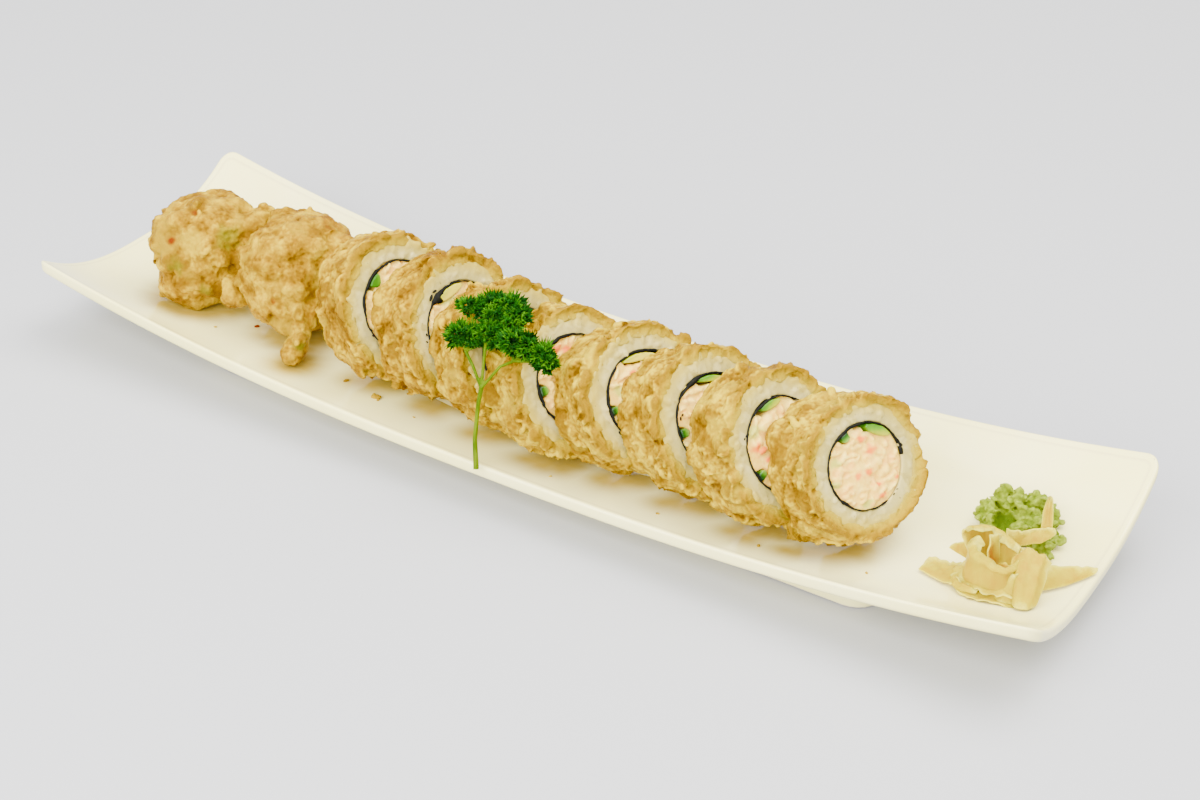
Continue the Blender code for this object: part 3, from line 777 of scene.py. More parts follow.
def press(piece, number, thick, amount=1.0):
    """Press a slice's layer flatter towards its cut face."""
    if number in PRESSED:
        co = places(piece)
        near = np.clip(1 + co[:, 2] / thick, 0, 1)
        co[:, 1] *= 1 - (1 - PRESSED[number]) * near * amount
        move_to(piece, co)


def trim(piece, thick, front=0.0, back=0.0):
    """Cut a slice's layer flat at its two faces, in the slice's own frame."""
    co = places(piece)
    co[:, 2] = np.clip(co[:, 2], -thick - back * MM, front * MM)
    move_to(piece, co)
    return co


def batter_lumps(body, shots, chance, wide_share=0.5, small_share=0.3):
    """Flat rounded lumps of batter where shots at the body land, with crumbs among them."""
    tree = surface_tree(body)
    matrices = []
    for start, aim in shots:
        spot, normal, _, _ = tree.ray_cast(start, aim)
        if spot is None:
            continue
        kind = chance.random()
        if kind < wide_share:
            wide = chance.uniform(3.2, 6.8)
            scale = (wide, wide * chance.uniform(0.45, 0.8), chance.uniform(1.2, 2.3))
            sunk = chance.uniform(0.2, 0.6)
        elif kind < wide_share + small_share:
            wide = chance.uniform(0.9, 2.0)
            scale = (wide, wide * chance.uniform(0.6, 1.0), wide * 0.7)
            sunk = 0.2
        else:
            tall = chance.uniform(1.8, 3.0)
            scale = (tall * chance.uniform(0.7, 1.3), 0.9, tall)
            sunk = 0.1
        spot = spot - normal * sunk * scale[2] * MM
        size = [part * MM for part in scale]
        matrices.append(laid(spot, normal, size, chance.uniform(0, math.tau)))
    return balls("lumps", 2, matrices)


def craggy(body, lumps, voxel, smoothing=3):
    """Fuse lumps with a body and give the batter its small crags."""
    join(body, lumps)
    use_modifier(body, "REMESH", mode="VOXEL", voxel_size=voxel * MM)
    use_modifier(body, "SMOOTH", factor=0.5, iterations=smoothing)
    roughen(body, TEXTURES["heave"], 2.0)
    roughen(body, TEXTURES["swell"], 1.4)
    roughen(body, TEXTURES["fold"], 0.55)
    roughen(body, TEXTURES["crumb"], 0.5)


# How much darker some pieces are fried
WARMTH = {3: 0.35, 4: 0.4, 5: 0.2}
END_WARMTH = 0.4

# Where batter stands out most, on the face in mm and how deep behind it
FLAPS = {
    10: ((14, 19, -1.5), (17, 15, -2), (24, -3, -1.5), (-20, -16, -14), (-16, -19, -13), (-19, -14, -10)),
    7: ((4, 24, -1.5), (12, 21, -1.5), (-20, -14, -9)),
    8: ((8, 23, -1.5), (-18, -16, -9)),
    9: ((10, 22, -1.5), (-17, -17, -8)),
}


# Batter that ran down on the plate beside a slice: x, y, z and size in mm
RUNS = {10: ((105, -25.5, 21.5, 6.5), (101, -27.5, 19.5, 6.0), (97, -29, 18, 5.6), (95, -30.4, 16.4, 4.6))}


def balls_at(spots):
    """Plain balls at places in mm, as one mesh."""
    spheres = [Matrix.Translation(Vector((x, y, z)) * MM) @ Matrix.Scale(r * MM, 4) for x, y, z, r in spots]
    return balls("balls", 3, spheres)


# Where each of the sprig's branches forks, in mm, and the line of its right branch, which the
# batter leaves clear by so much
FORKS = {"left": (-12.6, -44.4, 52.6), "top": (-6.4, -42, 56), "right": (5.2, -44.0, 54.7)}
SPRIG_BRANCH = ((2.0, -44.5, 51.0), FORKS["right"], (9.0, -42.5, 57.0))
BRANCH_ROOM = 3.2


def clear_branch(piece):
    """Press the batter back where the sprig's branch runs."""
    co = places(piece)
    back = np.zeros(len(co))
    for t in np.linspace(0, 1, 9):
        away = np.linalg.norm(co - between(SPRIG_BRANCH, t) * MM, axis=1)
        back = np.maximum(back, np.clip(BRANCH_ROOM * MM - away, 0, None))
    move_to(piece, co + back[:, None] * (0, 1.4, -0.6))


def make_crust(number, batter):
    place, thick = slice_place(number)
    chance = random.Random(number * 17)
    crust = cast_from(f"crust_{number:02d}", f"batter_{number:02d}")
    if number in RUNS:
        join(crust, balls_at(RUNS[number]))
    crust.data.transform(place.inverted())
    shots = []
    for k in range(SLICE_LUMPS):
        a = chance.uniform(0, math.tau)
        aim = Vector((-math.cos(a), -math.sin(a), 0))
        deep = chance.uniform(0, 3.5) * MM if k % 4 == 0 else thick * chance.random()
        shots.append((aim * -SLICE_SHOT * MM + Vector((0, 0, -deep)), aim))
    for x, y, z in FLAPS.get(number, ()):
        shots += [(Vector((x, y, 0)) * 3 * MM + Vector((0, 0, z * MM)), -Vector((x, y, 0)).normalized())] * 3
    lumps = batter_lumps(crust, shots, chance)
    shots = []
    for k in range(RIM_LUMPS):
        a = math.tau * (k + chance.random()) / RIM_LUMPS
        aim = Vector((-math.cos(a), -math.sin(a), 0))
        deep = chance.uniform(-2.5, -0.3) * MM
        shots.append((aim * -SLICE_SHOT * MM + Vector((0, 0, deep)), aim))
    join(lumps, batter_lumps(crust, shots, chance, 0.0, 0.3))
    craggy(crust, lumps, 0.5)
    co = places(crust)
    reach = np.hypot(co[:, 0], co[:, 1]) / MM
    rough = np.array([noise.noise(Vector(spot) * 330) + 0.5 * noise.noise(Vector(spot) * 900) for spot in co])
    lip = (smooth_step(21.4, 24.5, reach) * 1.3 + rough * 0.75 * smooth_step(20.5, 23, reach)) * MM
    front = np.minimum(lip, 1.5 * MM)
    co[:, 2] = np.clip(co[:, 2], -thick - front - smooth_step(25.5, 28.5, reach) * 16 * MM, front)
    inward = reach < 22.4
    shrink = np.where(inward, 1 - 0.9 / np.maximum(reach, 1) * smooth_step(22.4, 21.4, reach), 1)
    co[:, :2] *= shrink[:, None]
    move_to(crust, co)
    # How far the batter stands out, which its material turns into painted shade in the hollows
    paint(crust, "crest", np.clip(0.5 + relief(crust, 18) / 0.7, 0, 1))
    paint(crust, "cut", smooth_step(0.7, -0.1, np.minimum(-co[:, 2], co[:, 2] + thick) / MM))
    paint(crust, "rim", (reach - 20.5) / 4.5)
    paint(crust, "warm", np.full(len(co), WARMTH.get(number, 0.0)))
    press(crust, number, thick)
    crust.data.transform(place)
    clear_branch(crust)
    settle(crust)
    finish_piece(crust, batter, "crust", f"crust_{number:02d}")


def make_rice(number, cooked):
    place, thick = slice_place(number)
    chance = random.Random(number * 29)
    rice = cast_from(f"rice_{number:02d}", f"pressed_rice_{number:02d}")
    rice.data.transform(place.inverted())
    co = places(rice)
    co[:, 2] = np.where(co[:, 2] > -thick / 2, -0.3 * MM, -thick + 0.3 * MM)
    reach = np.hypot(co[:, 0], co[:, 1])
    co[:, :2] *= np.where(reach > 18 * MM, 1 + 1.1 * MM / reach, 1 - 0.55 * MM / reach)[:, None]
    move_to(rice, co)
    matrices = []
    for level in (0, -thick):
        for _ in range(RICE_GRAINS):
            a = chance.uniform(0, math.tau)
            reach = chance.uniform(16.9, 21.6) * MM
            deep = chance.uniform(0.75, 1.1) * MM
            height = level + (deep if level else -deep)
            spot = Vector((reach * math.cos(a), reach * math.sin(a), height))
            lie = Vector((chance.gauss(0, 1), chance.gauss(0, 1), chance.gauss(0, 0.2))).normalized()
            scale = (1.1 * MM * chance.uniform(0.85, 1.1), 0.95 * MM, 2.6 * MM * chance.uniform(0.8, 1.15))
            matrices.append(laid(spot, lie, scale, 0))
    join(rice, balls("grains", 2, matrices))
    use_modifier(rice, "REMESH", mode="VOXEL", voxel_size=0.42 * MM)
    use_modifier(rice, "SMOOTH", factor=0.5, iterations=9)
    co = trim(rice, thick, front=0.3, back=0.3)
    tree = KDTree(len(matrices))
    for i, matrix in enumerate(matrices):
        tree.insert(matrix.translation, i)
    tree.balance()
    tones = [chance.random() for _ in matrices]
    paint(rice, "tint", [tones[tree.find(spot)[1]] for spot in co])
    # How far the rice stands out, for the painted shade between the grains
    paint(rice, "crest", np.clip(0.5 + relief(rice, 8) / 0.4, 0, 1))
    paint(rice, "rim", (np.hypot(co[:, 0], co[:, 1]) / MM - 16) / 5.2)
    press(rice, number, thick)
    rice.data.transform(place)
    finish_piece(rice, cooked, "rice", f"rice_{number:02d}")


# Where the seaweed is bunched up: the angle, how wide in degrees and how much thicker in mm
BUNCHES = {
    3: ((128, 22, 0.5), (163, 10, 0.6)),
    4: ((119, 9, 3.4), (100, 20, 0.3)),
    5: ((80, 30, 0.5),),
    6: ((95, 25, 0.7),),
    7: ((76, 20, 0.7), (50, 6, 0.9), (208, 6, 0.4)),
    8: ((108, 10, 1.4), (212, 6, 0.6), (66, 14, 0.2)),
    9: ((96, 20, 0.4), (200, 7, 0.4)),
    10: ((100, 24, 0.7), (216, 9, 0.6), (-2, 7, 0.9)),
}


# Torn bits of seaweed beside the roll: the angle, the reach and the size in mm
TORN_BITS = {
    3: ((196, 15.4, 0.8), (204, 16.0, 0.5)),
    4: (
        (126, 17.0, 1.3),
        (117, 17.2, 1.0),
        (170, 16.4, 0.6),
        (178, 16.9, 0.5),
        (187, 15.0, 1.3),
        (196, 16.2, 1.0),
        (208, 16.9, 0.6),
        (216, 15.6, 1.2),
    ),
    7: ((207, 16.4, 0.8), (212, 16.9, 0.5), (60, 15.6, 0.7)),
    8: ((213, 16.2, 0.8), (160, 14.2, 0.7), (155, 13.6, 0.6)),
    9: ((150, 15.9, 0.6), (154, 16.6, 0.4)),
    10: ((8, 15.4, 1.2), (214, 15.8, 0.6), (298, 15.3, 0.5), (306, 15.3, 0.4)),
}


def make_nori(number, dried):
    place, thick = slice_place(number)
    start, sweep = SLICES[number]["nori"]
    bpy.ops.object.select_all(action="DESELECT")
    bpy.ops.mesh.primitive_grid_add(x_subdivisions=150, y_subdivisions=10, size=2)
    nori = bpy.context.object
    nori.name = f"seaweed_{number:02d}"
    use_modifier(nori, "SOLIDIFY", thickness=2.0, offset=0)
    co = places(nori)
    rolled = np.empty_like(co)
    for i, (x, y, z) in enumerate(co):
        a = math.radians(start + (x + 1) / 2 * sweep)
        deep = -thick * (1 - y) / 2
        round_spot = Vector((math.cos(a) * 3, math.sin(a) * 3, number * 5.0 + deep * 60))
        wave = 0.35 * noise.noise(round_spot * 1.3) + 0.18 * noise.noise(round_spot * 4.0)
        fat = 0.11 + 0.11 * max(0, noise.noise(round_spot * 1.9 + Vector((9, 2, 4))) + 0.1) * 2
        for spot, wide, more in BUNCHES[number]:
            fat += more / 2 * math.exp(-(((math.degrees(a) - spot + 180) % 360 - 180) / wide) ** 2)
        wave -= (fat - 0.25) * 0.5
        end = min(1, (1 - abs(x)) * 14 + 0.35)
        reach = (NORI_RADIUS + wave + z * fat * end) * MM
        ragged = 0.25 * MM * noise.noise(round_spot * 6.0 + Vector((3, 7, 1)))
        edge = deep + (0.22 * MM + ragged) * (y if abs(y) > 0.95 else 0)
        rolled[i] = (reach * math.cos(a), reach * math.sin(a), edge)
    move_to(nori, rolled)
    bits = []
    for angle, reach, size in TORN_BITS.get(number, ()):
        a = math.radians(angle)
        spot = Vector((reach * math.cos(a), reach * math.sin(a), 0.1)) * MM
        scale = (size * 0.45 * MM, size * MM, 0.35 * MM)
        bits.append(laid(spot, (0, 0, 1), scale, a + math.sin(angle) * 0.5))
    if bits:
        join(nori, balls("bits", 2, bits))
    press(nori, number, thick)
    nori.data.transform(place)
    pick(nori)
    bpy.ops.object.mode_set(mode="EDIT")
    bpy.ops.mesh.select_all(action="SELECT")
    bpy.ops.mesh.normals_make_consistent(inside=False)
    bpy.ops.object.mode_set(mode="OBJECT")
    finish_piece(nori, dried, "nori", f"nori_{number:02d}")


def in_span(angle, span, margin):
    return -margin < (angle - span[0] + 180) % 360 - 180 < span[1] - span[0] + margin


# Coral and pale green touches on the cut faces: across, up and reach from the middle, in mm
CORAL = {
    3: ((-12, -5, 1.6),),
    4: ((8, 10, 3.0), (-9, -6, 2.0)),
    6: ((-4, 12, 3.0), (0, 10.5, 3.4), (3, 9, 2.0)),
    7: ((-12, -5, 1.8), (-3, 9, 1.6)),
    8: ((-3, 2, 2.6), (-2, -3, 2.4), (-5, 5, 1.6)),
    9: ((-11, 3, 2.8), (-9, 1.5, 2.0), (-8, -2, 2)),
    10: (
        (1, 9.5, 2.4),
        (3.5, 5, 2.6),
        (-4, -2, 1.8),
        (0, -2.5, 2.0),
        (3, -12, 2.2),
        (11, -8, 1.6),
        (3, -8, 1.2),
    ),
}
PALE = {
    4: ((-3, 11, 4.5),),
    7: ((-9, 5, 4), (-8, 1, 3)),
    9: ((-10, 8, 4.5),),
    10: ((-11, 5, 3.0), (-13, -2, 1.8), (-3, -12.5, 2.0)),
}
# Big smooth lumps of crab: across, up, and half its width and height, in mm
LUMPS = {
    10: ((-3.5, -3, 6.2, 7.4), (4.5, 4.5, 4.0, 3.4)),
    8: ((-6, -7, 3.4, 5.0),),
    7: ((-6, 2, 4.5, 5.5),),
}


def touches(co, spots):
    amount = np.zeros(len(co))
    patch = np.array([noise.noise(Vector(spot) * 420) for spot in co]) * 1.6
    for across, up, size in spots:
        away = np.hypot(co[:, 0] / MM - across, (co[:, 1] / MM - up) * 1.3)
        amount = np.maximum(amount, smooth_step(size, size * 0.35, away + patch))
    return amount


def shown_span(entry, kind):
    """The angles over which a green piece is seen."""
    start, end = entry[kind]
    if kind == "avocado":
        return entry.get("shown", (start, end))
    spare = (end - start) * (1 - CUCUMBER_SHOWN) / 2
    return start + spare, end - spare


def make_crab(number, meat):
    place, thick = slice_place(number)
    chance = random.Random(number * 41)
    entry = SLICES[number]
    depths = {"avocado": AVOCADO_DEPTH, "cucumber": CUCUMBER_DEPTH}
    shown = {"avocado": AVOCADO_DEPTH * entry.get("slim", 1.0), "cucumber": CUCUMBER_DEPTH * CUCUMBER_SHOWN}
    greens = [kind for kind in depths if kind in entry]
    crab = cast_from(f"crab_{number:02d}", f"crab_filling_{number:02d}")
    crab.data.transform(place.inverted())
    co = places(crab)
    co[:, 2] = np.where(co[:, 2] > -thick / 2, -0.9 * MM, -thick + 0.9 * MM)
    reach = np.hypot(co[:, 0], co[:, 1])
    co[:, :2] *= (1 + 0.7 * MM / np.maximum(reach, MM))[:, None]
    move_to(crab, co)
    matrices = []
    for level in (0, -thick):
        for k in range(BACK_SHREDS if level else FRONT_SHREDS):
            angle = chance.uniform(0, 360)
            reach = 14.0 * math.sqrt(chance.random())
            if any(
                in_span(angle, shown_span(entry, kind), 5) and reach > FILLING_RADIUS - shown[kind] - 0.6
                for kind in greens
            ):
                continue
            a = math.radians(angle)
            size = chance.uniform(0.5, 0.85) * MM
            long = chance.uniform(1.5, 3.6)
            if k % 6 == 0 and reach < 10:
                size = chance.uniform(1.6, 2.8) * MM
                long = chance.uniform(1.0, 1.6)
            deep = size * chance.uniform(0.55, 1.0) + 0.1 * MM
            height = level + (deep if level else -deep)
            spot = Vector((reach * MM * math.cos(a), reach * MM * math.sin(a), height))
            lie = Vector((chance.gauss(0, 1), chance.gauss(0, 1), chance.gauss(0, 0.15))).normalized()
            matrices.append(laid(spot, lie, (size, size, size * long), 0))
    for across, up, wide, high in LUMPS.get(number, ()):
        lump = Matrix.Diagonal((wide * MM, high * MM, 2.2 * MM, 1))
        matrices.append(Matrix.Translation(Vector((across, up, -1.9)) * MM) @ lump)
    for kind in greens:
        for angle in range(entry[kind][0], entry[kind][1] + 1, 3):
            low = FILLING_RADIUS - depths[kind]
            high = FILLING_RADIUS - 0.6
            if in_span(angle, shown_span(entry, kind), 3):
                high = FILLING_RADIUS - shown[kind] - 0.5
            if high - low < 0.3:
                continue
            a = math.radians(angle)
            turned = Matrix.Rotation(a, 4, "Z") @ Matrix.Translation(((low + high) / 2 * MM, 0, -thick / 2))
            matrices.append(turned @ Matrix.Diagonal(((high - low) * 0.8 * MM, 0.8 * MM, thick * 0.5, 1)))
    join(crab, balls("shreds", 2, matrices))
    use_modifier(crab, "REMESH", mode="VOXEL", voxel_size=0.38 * MM)
    use_modifier(crab, "SMOOTH", factor=0.5, iterations=4)
    roughen(crab, TEXTURES["crumb"], 0.25)
    co = trim(crab, thick, front=0.3, back=0.1)
    paint(crab, "coral", touches(co, CORAL.get(number, ())) * 0.85)
    paint(crab, "pale", touches(co, PALE.get(number, ())) * 0.8)
    # How far the crab stands out, for the painted shade between the shreds
    paint(crab, "crest", np.clip(0.5 + relief(crab, 8) / 0.5, 0, 1))
    press(crab, number, thick)
    crab.data.transform(place)
    finish_piece(crab, meat, "crab", f"crab_{number:02d}")


def make_wedge(number, kind, name, material, depth):
    """Avocado or cucumber beside the crab."""
    place, thick = slice_place(number)
    wedge = cast_from(f"{kind}_{number:02d}", f"{name}_{number:02d}")
    wedge.data.transform(place.inverted())
    co = places(wedge)
    middle = co[:, :2].mean(0)
    spread = co[:, :2] - middle
    length = np.hypot(spread[:, 0], spread[:, 1])
    co[:, :2] = middle + spread * (1 + 0.35 * MM / length)[:, None]
    move_to(wedge, co)
    use_modifier(wedge, "REMESH", mode="VOXEL", voxel_size=0.4 * MM)
    use_modifier(wedge, "SMOOTH", factor=0.5, iterations=4)
    co = places(wedge)
    co[:, 2] = co[:, 2] * (1 + 0.5 * MM / thick) + 0.25 * MM
    for i, spot in enumerate(co):
        co[i, 2] += 0.25 * MM * noise.noise(Vector(spot) * 300)
    co[:, 2] = np.minimum(co[:, 2], 0.2 * MM)
    move_to(wedge, co)
    reach = np.hypot(co[:, 0], co[:, 1]) / MM
    flesh = np.clip((FILLING_RADIUS - reach) / depth, 0, 1)
    entry = SLICES[number]
    turned = np.degrees(np.arctan2(co[:, 1], co[:, 0])) % 360
    start, end = entry[kind]
    along = (end - turned) / (end - start)
    low, high = shown_span(entry, kind)
    if kind == "avocado":
        thin = entry.get("slim", 1.0) * (1 - 0.6 * np.abs(np.clip(along, 0, 1) * 2 - 1) ** 2.5)
        flesh = 0.45 * flesh + 0.6 * np.clip(along, 0, 1) + entry.get("ripe", 0)
    else:
        thin = CUCUMBER_SHOWN
    slimmer = (FILLING_RADIUS - (FILLING_RADIUS - reach) * thin) * MM
    turned = np.radians(high - along * (high - low))
    co[:, 0] = slimmer * np.cos(turned)
    co[:, 1] = slimmer * np.sin(turned)
    move_to(wedge, co)
    paint(wedge, "flesh", flesh)
    press(wedge, number, thick)
    wedge.data.transform(place)
    finish_piece(wedge, material, kind, f"{kind}_{number:02d}")


# The end pieces


# Where the filling shows through the batter of the end pieces, in mm, and how far
GREEN_SPOTS = (
    (-128.6, -22, 47.9, 7, 0.7),
    (-143.2, -34.5, 37.8, 4.5, 0.7),
    (-132.6, -32.2, 29, 4.5, 0.6),
    (-88.3, -35.5, 24.2, 3.5, 0.8),
)
RED_SPOTS = (
    (-147.2, -31.8, 45, 2.6, 1.0),
    (-143.2, -22.7, 53.9, 2.4, 0.8),
    (-96.6, -4.2, 56, 7, 0.35),
    (-90.4, -4.7, 53.3, 6, 0.35),
    (-97.6, -18.7, 56.1, 5, 0.15),
    (-90.1, -26, 31.9, 5, 0.35),
    (-101.3, -32.4, 36, 1.6, 0.7),
    (-84, -28, 31, 4, 0.9),
    (-88, -24, 44, 5, 0.3),
)
# Batter that bridges the end pieces or hangs from them: x, y, z and size in mm
BRIDGES = {
    1: ((-125, -22, 28, 6.5), (-124, -16, 38, 7.5), (-127, -8, 47, 7), (-147, -23, 27, 11.5)),
    2: ((-92, -8, 46, 8), (-95, -16, 52, 5), (-91, -36.6, 19.8, 4.6), (-88.4, -34, 25.6, 2.6)),
}


def make_end_piece(which, batter):
    chance = random.Random(which * 53)
    body = cast_from(f"end_piece_{which}", f"battered_end_{which}")
    join(body, balls_at(BRIDGES[which]))
    use_modifier(body, "REMESH", mode="VOXEL", voxel_size=1.0 * MM)
    if which == 1:
        co = places(body)
        high = co[:, 2] - 50 * MM
        co[:, 2] = np.where(high > 0, 50 * MM + high * 0.55, co[:, 2])
        move_to(body, co)
    middle = Vector(places(body).mean(0))
    shots = []
    for _ in range(END_LUMPS):
        aim = Vector((chance.gauss(0, 1), chance.gauss(0, 1), chance.gauss(0, 1))).normalized()
        shots.append((middle - aim * END_SHOT * MM, aim))
    lumps = batter_lumps(body, shots, chance, 0.7, 0.12)
    craggy(body, lumps, 0.55, smoothing=7)
    settle(body)
    co = places(body)
    # How far the batter stands out, which its material turns into painted shade in the hollows
    paint(body, "crest", np.clip(0.5 + relief(body, 18) / 1.3, 0, 1))
    paint(body, "warm", np.full(len(co), END_WARMTH))
    ragged = np.array([noise.noise(Vector(spot) * 400) for spot in co])
    for name, spots in (("greens", GREEN_SPOTS), ("reds", RED_SPOTS)):
        amount = np.zeros(len(co))
        for x, y, z, size, strength in spots:
            away = np.linalg.norm(co / MM - (x, y, z), axis=1) + ragged * size * 0.4
            amount = np.maximum(amount, smooth_step(size, size * 0.2, away) * strength)
        paint(body, name, amount)
    finish_piece(body, batter, "crust", f"end_piece_{which}")


# Garnish


# The hollow pressed into the mound, and its radius, in mm
WASABI_HOLLOW = (158.5, 7.0, 22.8)
WASABI_HOLLOW_RADIUS = 4.8
# Clods in the mound: x, y, z and size, in mm
WASABI_CLODS = (
    (151, 11, 19.5, 3.6),
    (149.5, 15, 18.5, 2.6),
    (153.5, 17.5, 23, 3.4),
    (157.5, 20, 24.5, 2.2),
    (158.5, 15.5, 25.8, 2.6),
    (164, 18, 25.6, 2.4),
    (167, 21.5, 21.5, 2.4),
    (162.5, 11, 24, 2.4),
    (167, 10, 22.8, 2.4),
    (170.5, 12.5, 21.4, 2.8),
    (174, 9.5, 19.6, 2.2),
    (169.5, 5.5, 20.6, 2.3),
    (173.5, 5.5, 19.2, 2.0),
    (175.5, 2.8, 18.6, 1.7),
    (163.5, 6, 22.6, 2.0),
    (155, 5.5, 20.6, 2.6),
    (151, 21, 19.5, 2.6),
    (169, 19, 19.2, 2.6),
    (159, 25, 18.2, 2.6),
)


def make_wasabi(paste):
    chance = random.Random(7)
    body = cast_from("wasabi", "wasabi_mound")
    co = places(body)
    low = co.min(0)
    shrunk = co.mean(0) + (MM, -3 * MM, 0) + (co - co.mean(0)) * (0.84, 0.84, 0.72)
    shrunk[:, 2] -= shrunk[:, 2].min() - low[2]
    move_to(body, shrunk)
    clods = [
        Matrix.Translation(Vector((x, y, z)) * MM)
        @ Euler((x, y, z)).to_matrix().to_4x4()
        @ Matrix.Diagonal((size * 1.35 * MM, size * 0.9 * MM, size * 0.8 * MM, 1))
        for x, y, z, size in WASABI_CLODS
    ]
    join(body, balls("clods", 3, clods))
    use_modifier(body, "REMESH", mode="VOXEL", voxel_size=0.5 * MM)
    roughen(body, TEXTURES["swell"], 1.6)
    roughen(body, TEXTURES["crackle"], 1.6)
    tree = surface_tree(body)
    middle = Vector(places(body).mean(0))
    hollow = Vector(WASABI_HOLLOW) * MM
    matrices = []
    for _ in range(WASABI_CRUMBS):
        aim = Vector((chance.gauss(0, 1), chance.gauss(0, 1), chance.uniform(-0.2, 1.2))).normalized()
        hit, normal, _, _ = tree.ray_cast(middle + aim * 50 * MM, -aim)
        if hit is None or (hit - hollow).length < WASABI_HOLLOW_RADIUS * 0.8 * MM:
            continue
        size = (0.5 + 1.2 * chance.random() ** 2) * MM
        scale = (size * chance.uniform(0.6, 1.6), size * 0.6, size * chance.uniform(0.7, 1.3))
        matrices.append(laid(hit + normal * size * 0.3, normal, scale, chance.uniform(0, 6)))
    join(body, balls("crumbs", 1, matrices))
    use_modifier(body, "REMESH", mode="VOXEL", voxel_size=0.33 * MM)
    use_modifier(body, "SMOOTH", factor=0.5, iterations=2)
    roughen(body, TEXTURES["crumb"], 0.6)
    co = places(body)
    away = co - np.array(hollow)
    length = np.linalg.norm(away, axis=1)
    radius = WASABI_HOLLOW_RADIUS * MM
    pushed = np.maximum(radius - length, 0)[:, None] * np.array((-0.35, 0.7, -0.6))
    move_to(body, co + pushed)
    settle(body)
    # How far the paste stands out, for the painted shade in its crevices
    stands = 0.6 * relief(body, 70) / 1.8 + 0.4 * relief(body, 14) / 0.8
    paint(body, "crest", np.clip(0.5 + stands, 0, 1))
    paint(body, "pressed", smooth_step(radius * 1.1, radius * 0.5, length))
    finish_piece(body, paste, "wasabi", "wasabi")


def between(points, t):
    """A smooth curve through points, with t from 0 to 1 along it."""
    points = np.asarray(points, float)
    last = len(points) - 1
    place = np.clip(np.asarray(t) * last, 0, last - 1e-6)
    k = place.astype(int)
    f = (place - k)[..., None]
    before = points[np.maximum(k - 1, 0)]
    here = points[k]
    there = points[k + 1]
    beyond = points[np.minimum(k + 2, last)]
    return 0.5 * (
        2 * here
        + (there - before) * f
        + (2 * before - 5 * here + 4 * there - beyond) * f**2
        + (3 * here - before - 3 * there + beyond) * f**3
    )


GINGER_CENTRE = (167.0, -19.0)

